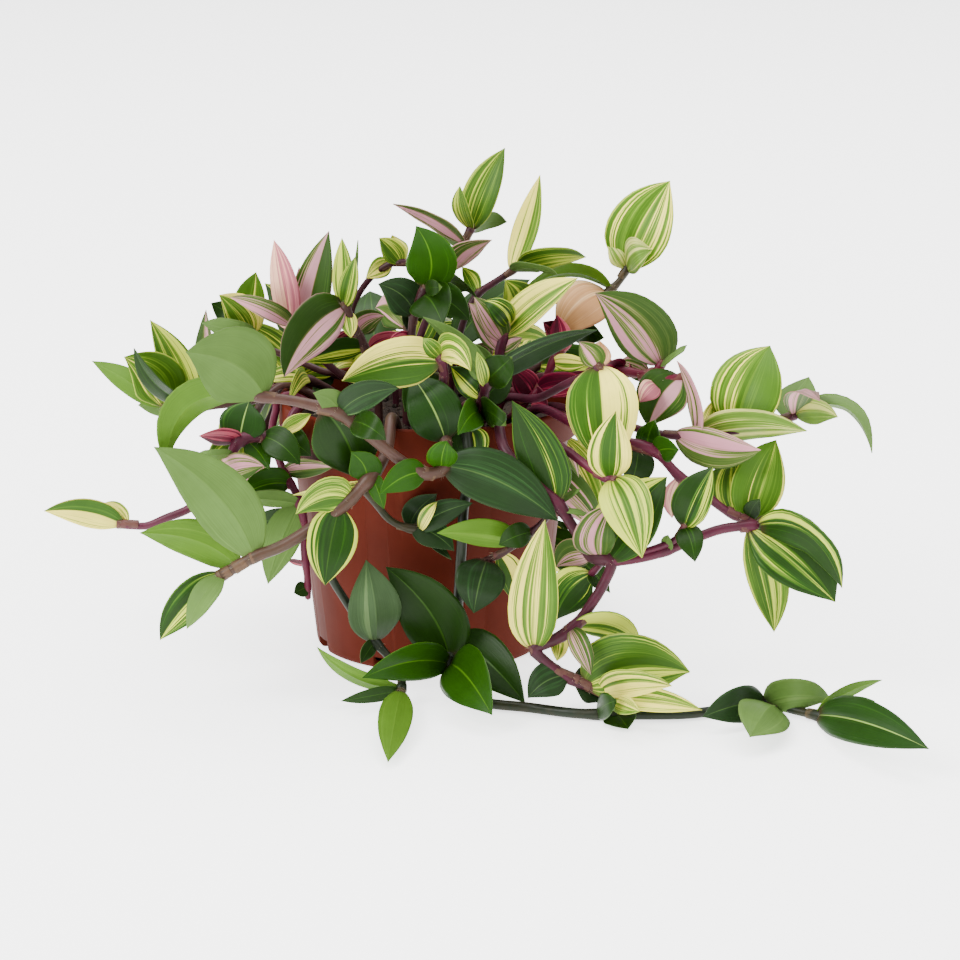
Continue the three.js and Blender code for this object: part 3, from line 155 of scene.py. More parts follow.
# foot and tip in the picture (px, py each), mm that the tip is nearer than the foot (or "g" on the ground),
# width, roll in degrees, arch, kind, with + or - for the half that is more striped
LEAVES = {
    "crown": [[474, 226, 505, 148, -4, 13.5, 15, 3, "A"], [469, 232, 460, 186, 6, 8, 40, -2, "A"],
     [464, 236, 393, 204, 4, 11, 60, 3, "C"], [463, 240, 437, 232, -10, 8, 50, 0, "E"],
     [470, 236, 507, 222, -8, 10, -50, 2, "E"], [448, 275, 492, 240, 12, 12, -45, 3, "C"],
     [446, 279, 477, 298, 12, 10, -60, 4, "D"]],
    "cream_arm": [[513, 271, 540, 175, -6, 12, 40, -3, "G"], [518, 266, 586, 257, 4, 11, -45, 2, "A"],
     [514, 271, 557, 274, 14, 9, -70, 2, "E"], [480, 292, 462, 267, -8, 8, 40, 2, "A"]],
    "fan_arm": [[627, 267, 670, 181, -6, 24, 10, 4, "R"], [627, 270, 607, 241, 9, 12, -25, 3, "Y"],
     [628, 269, 652, 250, 11, 13, 25, 3, "Y"], [612, 289, 524, 289, 2, 11, 62, 8, "L"],
     [606, 293, 557, 335, 14, 19, -15, 4, "T"]],
    "lilac_arm": [[661, 364, 595, 293, 2, 21.5, 10, 5, "C"], [622, 371, 605, 363, 10, 9, 20, 1, "F"],
     [630, 371, 642, 356, 12, 9, -30, 1, "F"], [648, 373, 620, 361, -10, 10, 30, 0, "C"]],
    "dark_pink": [[680, 378, 648, 427, 10, 19, -5, 4, "H-"], [655, 385, 640, 402, 9, 8, 0, 1, "P"],
     [600, 400, 577, 424, 12, 11, 10, 2, "D"]],
    "right_high": [[697, 435, 677, 361, -6, 11, 66, 9, "C"], [740, 430, 770, 346, -14, 25, 5, 5, "R"],
     [700, 435, 807, 431, 8, 16, -45, 3, "Y"], [676, 435, 761, 450, 15, 15, -20, -3, "C"],
     [793, 416, 820, 401, 10, 11, -60, 7, "C"], [785, 419, 809, 377, -16, 15, 20, 0, "E"],
     [795, 415, 872, 453, 6, 13, -68, 14, "E"], [795, 416, 838, 417, 12, 11, -30, 2, "Y"]],
    "right_mid": [[640, 446, 631, 484, 8, 13, 10, -3, "D"], [652, 450, 679, 450, 9, 10, -20, 1, "V"],
     [645, 448, 655, 420, 4, 9, 0, 1, "V"], [682, 479, 672, 518, -8, 9, 30, 1, "P"],
     [733, 516, 735, 454, -6, 22, 0, 4, "A"], [766, 521, 776, 440, -12, 19, -10, 4, "R"]],
    "cream_star": [[611, 478, 616, 411, 7, 15.5, 0, 3, "N"], [603, 477, 589, 440, 2, 8, 10, 1, "C"],
     [613, 479, 642, 558, 24, 18, 0, 5, "A"]],
    "big_stripe": [[598, 368, 605, 467, 8, 25.5, 0, 5, "J-"], [597, 369, 579, 342, 7, 9, 10, 1, "C"],
     [597, 368, 600, 341, -5, 9, 0, 1, "T"]],
    "knot": [[555, 500, 512, 401, -2, 19, 0, 4, "S+"], [609, 561, 667, 477, -6, 23, 10, 4, "S"],
     [600, 556, 612, 505, 9, 15, -10, 5, "C-"], [534, 646, 545, 520, 8, 17.5, 0, 6, "G"],
     [590, 553, 556, 567, -6, 12, 20, 3, "C"], [591, 574, 556, 620, -5, 16, 10, 3, "S"],
     [571, 631, 591, 675, 7, 8, -20, 2, "C"], [574, 629, 640, 645, -6, 13, -40, 5, "A"],
     [587, 684, 690, 672, 10, 26, -12, 6, "A"], [598, 691, 672, 686, 22, 11, -25, 3, "G"],
     [609, 699, 702, 710, 12, 9, -30, 2, "G"], [566, 677, 528, 698, 5, 13, -10, 3, "K"],
     [570, 679, 612, 704, 4, 15, 20, 3, "K"], [684, 527, 713, 467, -3, 14, 10, 3, "S"],
     [684, 528, 695, 562, 9, 9.5, 0, 3, "D"], [755, 524, 842, 588, 6, 14, -42, 12, "S-"],
     [748, 527, 835, 602, 12, 25, 10, 5, "S+"], [748, 528, 774, 632, -8, 15, 0, 3, "A"],
     [488, 560, 474, 613, 6, 18, 0, 3, "K"], [519, 541, 437, 533, 10, 11, 25, 2, "L"],
     [530, 532, 499, 545, 3, 9, 10, 1, "D"], [500, 554, 514, 602, -8, 10, 10, 2, "B"]],
    "floor_trail": [[456, 638, 525, 703, 20, 18, 0, 4, "D"], [449, 657, 386, 567, 6, 23, 10, 5, "D"],
     [450, 664, 492, 715, 26, 20, 10, 4, "V"], [450, 664, 362, 678, 34, 14, 20, 4, "V"],
     [466, 430, 473, 469, 9, 14.5, 0, 2, "S"], [762, 704, 694, 719, "g", 13, 30, 2, "K"],
     [766, 704, 831, 699, -4, 14, -10, 3, "E"], [772, 705, 750, 737, "g", 19, -10, 3, "E"],
     [822, 717, 882, 680, 0, 7, -50, 3, "L"], [828, 718, 875, 701, 6, 8.5, -20, 1, "V"],
     [815, 716, 929, 749, "g", 16, -25, 3, "W"]],
    "long_left": [[443, 470, 447, 441, 8, 11, -10, 1, "V"], [426, 474, 380, 494, 12, 11, 10, 3, "V"],
     [443, 466, 558, 521, 7, 20, 10, 5, "K"], [341, 413, 399, 388, 6, 11, -20, 3, "K"],
     [341, 413, 313, 393, 6, 9, 20, 2, "E"], [324, 407, 357, 478, -9, 24, 0, 3, "D"],
     [350, 420, 386, 440, 7, 10, 0, 2, "D"], [262, 397, 186, 352, 22, 28, 5, 5, "E"],
     [256, 396, 166, 467, 10, 19, 48, 16, "L"], [444, 440, 411, 375, -8, 19.5, 0, 3, "W"]],
    "low_left": [[369, 480, 351, 452, 6, 12, 10, 2, "V"], [373, 476, 384, 509, 9, 7, -30, 1, "V"],
     [350, 499, 296, 514, 10, 13.5, 30, 5, "A"], [340, 508, 325, 585, 8, 18, 10, 3, "M"],
     [252, 557, 154, 447, 2, 22.5, 5, 7, "E"], [238, 566, 140, 533, 8, 16, 25, 5, "L"],
     [223, 575, 160, 640, 0, 13.5, 15, 3, "S"], [222, 575, 187, 629, 9, 9.5, -20, 3, "E"],
     # the Z leaf below hangs in the shade in front of the pot; its underside colour is darkened as painted
     # shade
     [368, 480, 293, 495, -5, 5, 55, 0, "G"], [376, 644, 366, 560, 5, 19.5, -10, 4, "Z"],
     [400, 688, 317, 647, 6, 8.5, 48, -5, "L"], [398, 690, 341, 701, 8, 6, 30, 0, "D"],
     [396, 690, 388, 762, 38, 12, 0, 2, "L"], [402, 688, 398, 743, 26, 6, 60, 0, "K"],
     [410, 529, 437, 494, 4, 10, 0, 2, "K"], [418, 530, 473, 503, 6, 9.5, 0, 2, "K"],
     [412, 530, 454, 551, 7, 11, 10, 3, "K"]],
    "left_arm": [[121, 524, 44, 511, 4, 11, 20, 3, "J-"], [128, 525, 104, 503, -6, 8, 20, 1, "G"],
     [238, 440, 199, 436, 7, 11, 55, 1, "F"], [239, 440, 249, 402, -7, 17, 0, 2, "W"],
     [221, 475, 264, 466, 7, 11, -10, 2, "C"], [238, 443, 224, 501, 6, 7, 45, 0, "A"],
     [242, 440, 269, 469, 8, 9, 20, 2, "V"], [262, 437, 300, 465, 9, 12, 0, 3, "D"]],
    "left_hang": [[300, 502, 268, 584, 6, 14, 0, 3, "E"], [290, 483, 238, 498, 8, 13, 25, 3, "V"],
     [301, 504, 231, 499, 15, 8, 38, 1, "E"], [303, 516, 247, 523, -10, 9, 20, 0, "D"],
     [286, 474, 334, 467, -8, 8, -20, 1, "C"], [274, 441, 316, 458, 12, 13, 0, 3, "D"]],
    "left_back": [[166, 406, 124, 357, 9, 20, 5, 5, "R"], [166, 406, 92, 361, -10, 10, 10, 1, "L"],
     [186, 406, 129, 359, -5, 13, 20, 2, "V"], [200, 406, 134, 348, 4, 10, 50, -5, "D"],
     [190, 406, 150, 320, 1, 13.5, 0, 3, "A"], [208, 406, 206, 310, -9, 12, 50, -4, "C"],
     [178, 406, 138, 405, 11, 8.5, 10, 0, "E"]],
    "left_up": [[246, 325, 256, 272, -5, 12, 0, 2, "R"], [250, 336, 219, 295, 6, 14.5, 0, 3, "G"],
     [246, 323, 211, 303, -9, 10, 0, 0, "D"], [258, 343, 202, 323, 4, 10, 30, 1, "E"]],
    "pink_pair": [[290, 322, 274, 240, 1, 10.5, 15, 2, "P"], [292, 326, 230, 297, 8, 8.5, 35, 2, "C"],
     [294, 328, 260, 299, -5, 7.5, 30, 1, "P"], [299, 336, 299, 267, -8, 6.5, 25, 0, "F"],
     [306, 343, 329, 231, -4, 15, 15, 3, "H-"]],
    "green_pink": [[344, 307, 284, 377, 15, 19, 20, 7, "H-"], [344, 306, 355, 257, 4, 8, 30, 0, "A"],
     [344, 306, 342, 238, -4, 8.5, 20, 1, "A"], [348, 313, 358, 240, -9, 5, 70, -1, "E"],
     [364, 346, 302, 362, 12, 10, 30, 2, "S"], [360, 340, 330, 345, 6, 8, 30, 0, "F"]],
    "bow": [[400, 262, 379, 238, 4, 9, 0, 1, "A"], [405, 262, 392, 235, -8, 9, 30, 0, "G"],
     [392, 264, 366, 278, 7, 8, 10, 1, "G"], [354, 332, 384, 316, 7, 10, -20, 2, "C"],
     [362, 344, 330, 336, 7, 8, 20, 1, "F"], [372, 352, 410, 336, 8, 9, -20, 1, "F"]],
    "green_crown": [[424, 290, 416, 226, 10, 18.5, 0, 4, "V"], [414, 314, 378, 284, 6, 14, 0, 3, "K"],
     [421, 297, 443, 325, 20, 17, 0, 4, "D"], [425, 291, 470, 321, 5, 12.5, -10, 3, "D"],
     [411, 346, 386, 352, 8, 10, 10, 2, "F"]],
    "half_cream": [[442, 361, 342, 381, 9, 19, 20, 4, "J+"], [440, 357, 471, 371, 9, 12, -30, 6, "G"],
     [441, 376, 405, 412, -8, 14, 10, 2, "D"]],
    "grey_star": [[486, 383, 423, 317, 4, 9, 40, 3, "E"], [487, 380, 512, 357, 9, 12, 10, 0, "D"],
     [487, 381, 471, 342, 7, 10, 0, 1, "E"], [487, 380, 597, 330, -4, 12, -48, 4, "K"],
     [482, 402, 513, 373, -6, 11, 0, 1, "D"], [483, 399, 451, 367, -9, 10, 0, 1, "S"],
     [480, 412, 455, 438, 11, 11, 20, 3, "V"], [480, 411, 506, 426, 11, 11, -20, 2, "D"]],
    "striped_mid": [[506, 334, 578, 278, 6, 13, 20, 3, "G"], [503, 340, 474, 297, 4, 10, 10, 1, "C"],
     [510, 328, 484, 301, 10, 9, 0, 2, "S"], [500, 352, 469, 303, -7, 11, 20, 2, "C"],
     [519, 314, 505, 280, 6, 13, 0, 3, "A"]],
    "crimson": [[533, 396, 511, 368, 6, 10, 0, 1, "F"], [531, 398, 554, 408, 11, 9, -20, 1, "F"],
     [536, 392, 591, 382, 6, 10, -20, 1, "F"], [564, 343, 543, 322, 6, 9, 0, 1, "F"],
     [572, 335, 575, 310, 7, 9, 0, 1, "F"], [573, 334, 604, 338, 8, 10, -30, 2, "D"],
     [560, 350, 557, 315, 5, 9, 0, 1, "F"]],
}

# Leaves too small for the part's source, in the same form.
SPRIGS = {
    "lilac_arm": [[662, 366, 687, 345, 4, 4.5, 65, 0, "E"], [662, 364, 671, 349, -5, 4.5, 50, 0, "E"]],
    "right_high": [[706, 434, 717, 398, 4, 6, 30, 1, "G"]],
    "right_mid": [[749, 520, 760, 499, 8, 6, 0, 1, "D"]],
    "knot": [[558, 503, 581, 489, 4, 4, 50, 0, "E"], [560, 506, 594, 518, 6, 4, 60, 1, "E"],
     [603, 560, 617, 514, 12, 10, 25, 2, "C"], [591, 553, 593, 507, -2, 5, 55, 0, "D"],
     [592, 574, 595, 588, 5, 4.5, 40, 0, "D"], [541, 645, 554, 616, 4, 6.5, 40, 2, "D"],
     [560, 637, 557, 661, 7, 7, 20, 1, "G"], [613, 701, 649, 715, 8, 7, -20, 0, "G"],
     [665, 552, 668, 535, 5, 5, 30, 0, "E"]],
    "floor_trail": [[598, 715, 617, 701, -8, 9, 0, 1, "D"], [618, 715, 628, 729, "g", 12, 0, 1, "D"],
     [826, 717, 849, 690, -6, 7, 30, 0, "V"]],
    "low_left": [[376, 643, 361, 663, 5, 6, 30, 1, "D"], [447, 548, 452, 560, 3, 4, 20, 0, "K"],
     [440, 518, 437, 502, 4, 5, 20, 1, "G"]],
    "left_arm": [[232, 452, 195, 455, 5, 5, 45, 0, "E"], [206, 494, 193, 451, 0, 6, 55, 0, "S"],
     [283, 430, 311, 414, 5, 6, 0, 0, "G"]],
    "left_hang": [[308, 592, 294, 593, 4, 6, 0, 0, "D"], [305, 560, 287, 560, 3, 4.5, 60, 0, "F"]],
    "left_back": [[175, 406, 173, 425, 6, 6, 0, 0, "D"]],
    "green_pink": [[346, 311, 351, 338, 7, 7, 20, 0, "G"]],
    "green_crown": [[425, 289, 442, 287, 9, 6, 0, 0, "D"]],
    "half_cream": [[439, 356, 423, 338, 4, 6, 0, 0, "A"]],
    "grey_star": [[486, 384, 477, 352, 13, 5, 0, 0, "A"]],
    "striped_mid": [[500, 353, 522, 338, 9, 6, 20, 0, "C"]],
    "crimson": [[553, 362, 588, 364, 2, 7, -20, 0, "G"]],
    "fan_arm": [[545, 283, 558, 299, 4, 4, 20, 0, "D"]],
}


# ---- the photograph's viewpoint ----
AIM = np.array([20.0, 0.0, 66.0])
TILT = math.radians(15)
RANGE = 1200
PICTURE = 960          # width and height in pixels
MIDDLE = PICTURE / 2
FOCAL = 2990           # in the same pixels
EYE = np.array([AIM[0], -RANGE * math.cos(TILT), AIM[2] + RANGE * math.sin(TILT)])
AHEAD = np.array([0, math.cos(TILT), -math.sin(TILT)])
UPWARD = np.array([0, math.sin(TILT), math.cos(TILT)])


def ray(px, py):
    return AHEAD + np.array([(px - MIDDLE) / FOCAL, 0, 0]) + UPWARD * ((MIDDLE - py) / FOCAL)


def seen(px, py, near):
    """The point on that line of sight, near mm in front of the pot's axis."""
    d = ray(px, py)
    return EYE + d * ((-near - EYE[1]) / d[1])


def lying(px, py, z):
    """The point on that line of sight at height z."""
    d = ray(px, py)
    return EYE + d * ((z - EYE[2]) / d[2])


def picture(points):
    v = points - EYE
    depth = v @ AHEAD
    return np.stack([MIDDLE + FOCAL * v[..., 0] / depth, MIDDLE - FOCAL * (v @ UPWARD) / depth], -1)


# ---- directions and seeded numbers, worked out as in the part's source ----
def norm(v):
    return np.sqrt(v[0] * v[0] + v[1] * v[1] + v[2] * v[2])


def unit(v):
    return v * (1 / (norm(v) or 1))


def cross(a, b):
    return np.array([a[1] * b[2] - a[2] * b[1], a[2] * b[0] - a[0] * b[2], a[0] * b[1] - a[1] * b[0]])


def draws(seed):
    """Seeded numbers from 0 to 1."""
    state = [seed & 0xFFFFFFFF]

    def draw():
        state[0] = (state[0] * 1664525 + 1013904223) & 0xFFFFFFFF
        return state[0] / 4294967296
    return draw


# ---- curves ----
def curve(points, step):
    """A smooth line through the points, in short pieces."""
    p = [2 * points[0] - points[1], *points, 2 * points[-1] - points[-2]]
    out = []
    for a, b, c, d in zip(p, p[1:], p[2:], p[3:]):
        t0, t1, t2 = math.sqrt(norm(b - a)), math.sqrt(norm(c - b)), math.sqrt(norm(d - c))
        start = ((b - a) * (1 / t0) - (c - a) * (1 / (t0 + t1)) + (c - b) * (1 / t1)) * t1
        end = ((c - b) * (1 / t1) - (d - b) * (1 / (t1 + t2)) + (d - c) * (1 / t2)) * t1
        n = max(1, math.ceil(norm(c - b) / step))
        for k in range(n):
            t = k / n
            q, u = t * t, t * t * t
            ends = b * (2 * u - 3 * q + 1) + c * (3 * q - 2 * u)
            out.append(ends + start * (u - 2 * q + t) + end * (u - q))
    return out + [points[-1]]


def straighten(line, slack):
    """Drops the points that a straight piece passes within slack of."""
    if len(line) < 3:
        return line
    d = unit(line[-1] - line[0])
    worst, at = 0, 0
    for i in range(1, len(line) - 1):
        v = line[i] - line[0]
        off = norm(v - d * (v[0] * d[0] + v[1] * d[1] + v[2] * d[2]))
        if off > worst:
            worst, at = off, i
    if worst <= slack:
        return [line[0], line[-1]]
    return straighten(line[:at + 1], slack)[:-1] + straighten(line[at:], slack)


# ---- clearance from pot, soil and ground ----
WALL_TOP_R = RIM_R - COLLAR_STEP
OUTLINE = [(0, 0), (FOOT_R, 0), (WALL_TOP_R, POT_H - COLLAR_H), (RIM_R, POT_H - COLLAR_H), (RIM_R, POT_H),
           (RIM_R - 2.4, POT_H), (RIM_R - 4.5, SOIL_TOP + 1.6), (0, SOIL_TOP + 1.6)]


def pot_gap(p):
    """Distance to the filled pot, below zero inside it, for one point or an array of them."""
    r, z = np.hypot(p[..., 0], p[..., 1]), p[..., 2]
    least = np.full(r.shape, 1e9)
    inside = np.zeros(r.shape, bool)
    for (ar, az), (br, bz) in zip(OUTLINE, OUTLINE[1:] + OUTLINE[:1]):
        er, ez = br - ar, bz - az
        if ar or br:
            k = np.clip(((r - ar) * er + (z - az) * ez) / (er * er + ez * ez), 0, 1)
            least = np.minimum(least, np.hypot(r - ar - k * er, z - az - k * ez))
        if az != bz:
            inside ^= ((az > z) != (bz > z)) & (r < ar + (z - az) / (bz - az) * er)
    return np.where(inside, -least, least)


def push_out(p, gap):
    """Moves a point of a stem just clear of the pot, the soil and the ground."""
    e = 0.01 * np.eye(3)
    q = p
    for _ in range(12):
        g = pot_gap(q)
        if g >= gap:
            break
        q = q + unit(pot_gap(q + e) - g) * (gap - g + 0.02)
    return np.array([q[0], q[1], max(q[2], gap)])


# ---- stems ----
Stem = namedtuple("Stem", "name lines leaves")
Line = namedtuple("Line", "radius tone axis fine")       # axis: few straight pieces; fine: the smooth curve


def place(mark, radius):
    px, py, near = mark
    return lying(px, py, radius + FLOOR_CLEAR - 1) if near == "g" else seen(px, py, near)


def way_out(foot, radius, way, first):
    """How a stem gets from its foot to the first point of its route."""
    x, y = foot
    if way == "free":
        return [np.array([x, y, SOIL_TOP + 14]) * 0.6 + first * 0.4]
    to = unit(np.array([first[0] - x, first[1] - y, 0]))
    b = x * to[0] + y * to[1]
    reach = -b + math.sqrt(b * b - (x * x + y * y) + (RIM_R - 1.5) ** 2)
    over = np.array([x + to[0] * reach, y + to[1] * reach, POT_H + radius + 1.3])
    return [np.array([(x + over[0]) / 2, (y + over[1]) / 2, POT_H + radius - 1.5]), over]


def main_line(foot, radius, tone, points):
    """A stem from the bottom of its hole along its route, clear of soil and pot."""
    start = [np.array([*foot, z], float) for z in (ROOT_Z, SOIL_TOP + STEM_FREE)]
    line = curve(start + points, FINE)
    free = next(i for i, p in enumerate(line) if p[2] > SOIL_TOP + STEM_FREE - 0.1)
    fine = start + [push_out(p, radius + STEM_CLEAR) for p in line[free + 1:]]
    return Line(radius, tone, fine[:1] + straighten(fine[1:], SLACK), fine)


def nearest_on(lines, px, py):
    """The point of the stem that shows closest to this place in the picture, and that piece of stem."""
    best, least = None, 1e18
    k = (np.arange(7) / 6)[:, None]
    for line in lines:
        for a, b in zip(line.axis, line.axis[1:]):
            p = a * (1 - k) + b * k
            in_pot = (p[:, 2] < SOIL_TOP + 2) & (np.hypot(p[:, 0], p[:, 1]) < RIM_R - 2)
            off = np.where(in_pot, 1e18, ((picture(p) - (px, py)) ** 2).sum(1))
            i = int(off.argmin())
            if off[i] < least:
                least, best = off[i], (p[i], line, unit(b - a))
    return best


# ---- leaves: where each one lies ----
LONG_FORM = [0, 0.13, 0.36, 0.7, 1], [0, 0.72, 1, 0.7, 0]        # places along the leaf, shares of its width
SHORT_FORM = [0, 0.3, 0.7, 1], [0, 1, 0.72, 0]
SHORT_LEAF, FLAT_LEAF = 38, 29       # shorter leaves have the short form, and no fold in the part's source
UNDERSIDES = "ELYZ"                  # kinds that show their underside to the viewer


class Leaf:
    """Where one leaf grows and points, and how it is bent clear of the others."""

    def __init__(self, base, tip, width, roll, arch, kind, radius, grows, sprig, hidden=False):
        self.base, self.tip, self.width, self.roll, self.arch, self.kind = base, tip, width, roll, arch, kind
        self.length = norm(tip - base)
        self.radius, self.grows = radius, grows         # of its stem, and the stem's direction there
        self.sprig, self.hidden = sprig, hidden         # too small for the part's source; on a hidden stem
        self.bend, self.left = None, False              # how it is bent; left out for want of a clear place


def leaf_frame(leaf, bend, stations):
    """Points, across and up directions along the leaf's middle line when it is bent that way."""
    shrink, turn, shift, bow = bend
    base, there = leaf.base, leaf.tip - leaf.base
    eye = unit(EYE - (base + there * 0.5))
    tip = base + there * shrink + unit(EYE - leaf.tip) * shift
    d = unit(tip - base)
    n0 = unit(eye - d * float(eye @ d))
    w0 = cross(d, n0)
    a = math.radians(leaf.roll + turn)
    side = w0 * math.cos(a) + n0 * math.sin(a)
    lift = np.array([0, 0, 1]) + eye * 0.45
    rise = unit(lift - d * float(lift @ d)) * leaf.arch + eye * bow
    middle = base * 0.55 + tip * 0.45 + rise * 2
    t = np.asarray(stations, float)[:, None]
    at = base * (1 - t) ** 2 + middle * (2 * t * (1 - t)) + tip * t * t
    along = (middle - base) * (2 * (1 - t)) + (tip - middle) * (2 * t)
    along /= np.linalg.norm(along, axis=1, keepdims=True)
    across = side - along * (along @ side)[:, None]
    across /= np.linalg.norm(across, axis=1, keepdims=True)
    up = np.cross(across, along)
    up *= np.where(up @ n0 < 0, -1, 1)[:, None]
    if leaf.kind in UNDERSIDES:
        up = -up
    return at, across, up, float(norm(tip - base))


def coarse_samples(leaf, bend):
    """Points spread over the plain blade of the part's source, and which of them are clear of the stem."""
    stations, shares = LONG_FORM
    at, across, up, long = leaf_frame(leaf, bend, stations)
    if long < SHORT_LEAF:
        stations, shares = SHORT_FORM
        at, across, up, long = leaf_frame(leaf, bend, stations)
    half = np.array(shares) * leaf.width / 2
    half[0] = NECK_W / 2
    fold = 0 if long < FLAT_LEAF or leaf.hidden else FOLD
    points, outer = [], []
    for i in range(len(at) - 1):
        n = math.ceil(norm(at[i + 1] - at[i]) / SAMPLE)
        m = math.ceil(max(half[i], half[i + 1]) / SAMPLE)
        u = np.arange(-m, m + 1)[:, None] / m
        rim = [at[k] + across[k] * half[k] * u + up[k] * (np.abs(u) * half[k] * fold) for k in (i, i + 1)]
        for k in range(0 if i else 1, n):
            points.append(rim[0] * (1 - k / n) + rim[1] * (k / n))
            outer += [i > 0] * (2 * m + 1)
    points.append(at[-1:])
    return np.concatenate(points), np.array(outer + [True])


class Crowd:
    """The points of the stems and leaves already placed."""

    def __init__(self):
        self.points = np.zeros((0, 3))
        self.facts = np.zeros((0, 3))       # clearance needed, owner, clear of its stem
        self.tree = None

    def keep(self, points, need, owner, outer):
        self.points = np.concatenate([self.points, points])
        facts = np.stack([np.full(len(points), need), np.full(len(points), owner), outer], 1)
        self.facts = np.concatenate([self.facts, facts])
        self.tree = None

    def near(self, points):
        """Pairs of (index of a point given, index of a kept point) that lie close together."""
        if self.tree is None:
            self.tree = KDTree(len(self.points))
            for i, p in enumerate(self.points):
                self.tree.insert(p, i)
            self.tree.balance()
        reach = LEAF_NEED + self.facts[:, 0].max() + 0.01
        pairs = [(i, j) for i, p in enumerate(points) for _, j, _ in self.tree.find_range(p, reach)]
        return np.array(pairs, int).reshape(-1, 2).T


def badness(crowd, points, outer, owner):
    """How much too close the leaf's points come to other stems and the pot, and to leaves of their own."""
    i, j = crowd.near(points)
    need, whose, far = crowd.facts[j].T
    short = np.maximum(0, LEAF_NEED + need - np.sqrt(((points[i] - crowd.points[j]) ** 2).sum(1)))
    others, own = np.zeros(len(points)), np.zeros(len(points))
    np.maximum.at(others, i, np.where(whose == owner, 0, short))
    np.maximum.at(own, i, np.where((whose == owner) & (far > 0) & outer[i], short, 0))
    more = others + np.maximum(0, FLOOR_CLEAR - points[:, 2]) + np.maximum(0, POT_CLEAR - pot_gap(points))
    return more.sum(), (20 * more + own).sum()


def settle(crowd, leaf, owner):
    """The first way of bending the leaf that touches nothing else, or else the least bad one."""
    best = None
    for shrink in SHRINKS:
        if best and best[0] == 0:
            return best
        for turn, shift, bow in itertools.product(TURNS, SHIFTS, BOWS):
            bend = (shrink, turn, shift, bow)
            wrong, score = badness(crowd, *coarse_samples(leaf, bend), owner)
            if best is None or score < best[1]:
                best = (wrong, score, bend)
            if score == 0:
                return best
    return best


# ---- the hidden back of the plant ----
BACK_ROOTS = [(-26, 30, 150), (-12, 34, 117), (2, 37, 90), (16, 34, 66), (29, 28, 38), (-37, 20, 168),
              (8, 24, 78), (-4, 22, 104)]       # (x, y, heading in degrees)
BACK_HANGING = 6       # this many hang over the rim, the rest stand
BACK_RADIUS = 1.7
BACK_TONE = 0.45
BACK_KINDS = "DDACGS"


def back_leaf(base, way, long, grows, sprig, draw):
    tip = base + way * long
    tip[2] = max(tip[2], TIP_Z)
    width, roll, arch = long * (0.38 + 0.08 * draw()), 150 + 60 * draw(), 3 + 3 * draw()
    kind = BACK_KINDS[math.floor(len(BACK_KINDS) * draw())]
    return Leaf(base, tip, width, roll, arch, kind, BACK_RADIUS, grows, sprig, hidden=True)


def back_leaves(seed, axis):
    """Leaves on both sides of a hidden stem, as in the part's source, and small ones between them."""
    draw, draw_small = draws(seed), draws(seed + 1)
    leaves, sprigs = [], []
    gone, following, flip = 0, 20, 1
    for i in range(1, len(axis)):
        step = axis[i] - axis[i - 1]
        gone += norm(step)
        last = i == len(axis) - 1
        if gone < following and not last:
            continue
        following = gone + 13 + 9 * draw()
        flip = -flip
        along, outward = unit(step), unit(np.array([axis[i][0], axis[i][1], 0]))
        side = unit(cross(along, outward)) * (flip * (0.75 + 0.3 * draw()))
        way = side * (0.2 if last else 1) + along * (0.7 + 0.4 * draw())
        way = unit(way + outward * (0.25 + 0.35 * draw()))
        leaves.append(back_leaf(axis[i], way, 30 + 15 * draw(), along, False, draw))
        for turn in (-1, -0.3):
            way = unit(side * turn + outward * (0.3 + 0.5 * draw_small()) + along * (draw_small() - 0.2))
            long = 14 + 7 * draw_small()
            sprigs.append(back_leaf(axis[max(0, i - 2)], way, long, along, True, draw_small))
    return leaves + sprigs


def hidden_stems():
    """The back half's stems, by the seeded rule of the part's source."""
    draw, stems = draws(2011), []
    for i, (x, y, heading) in enumerate(BACK_ROOTS):
        a = math.radians(heading)
        c, s = math.cos(a), math.sin(a)
        spread = 74 + 13 * draw()
        fall = (14 + 66 * draw()) * s * s
        bend = (draw() - 0.5) * 0.5
        if i < BACK_HANGING:
            low = POT_H - 16
            route = [(58, POT_H + 4.2, a), (66, POT_H - 1, a + bend * 0.3), (spread - 2, low, a + bend * 0.6),
                     (spread, low - fall * 0.5, a + bend), (spread - 2, low - fall, a + bend * 1.4)]
            points = [np.array([r * math.cos(to), r * math.sin(to), z]) for r, z, to in route]
        else:
            route = [(4, 16), (12, 25), (24, 27)]
            points = [np.array([x + k * c, y + k * s, SOIL_TOP + rise]) for k, rise in route]
        seed = math.floor(7000 + draw() * 1000)
        line = main_line((x, y), BACK_RADIUS, BACK_TONE, points)
        stems.append(Stem(f"back_{i + 1}", [line], back_leaves(seed, curve(line.axis[1:], FINE))))
    return stems


# ---- the whole plan ----
def seen_leaf(lines, mark, sprig):
    bx, by, tx, ty, nearer, width, roll, arch, kind = mark
    base, line, grows = nearest_on(lines, bx, by)
    tip = lying(tx, ty, TIP_Z) if nearer == "g" else seen(tx, ty, -base[1] + nearer)
    return Leaf(base, tip, width * BREADTH, roll, arch, kind, line.radius, grows, sprig)


def seen_stems():
    stems = []
    for name, foot, radius, tone, way, route, shoots in STEMS:
        points = [place(mark, radius) for mark in route]
        lines = [main_line(foot, radius, tone, way_out(foot, radius, way, points[0]) + points)]
        for radius, tone, route in shoots:
            points = [place(mark, radius) for mark in route]
            points[0] = nearest_on(lines[:1], *route[0][:2])[0]
            fine = curve(points, FINE)
            lines.append(Line(radius, tone, straighten(fine, SLACK), fine))
        leaves = [seen_leaf(lines, mark, False) for mark in LEAVES[name]]
        leaves += [seen_leaf(lines, mark, True) for mark in SPRIGS.get(name, [])]
        stems.append(Stem(name, lines, leaves))
    return stems


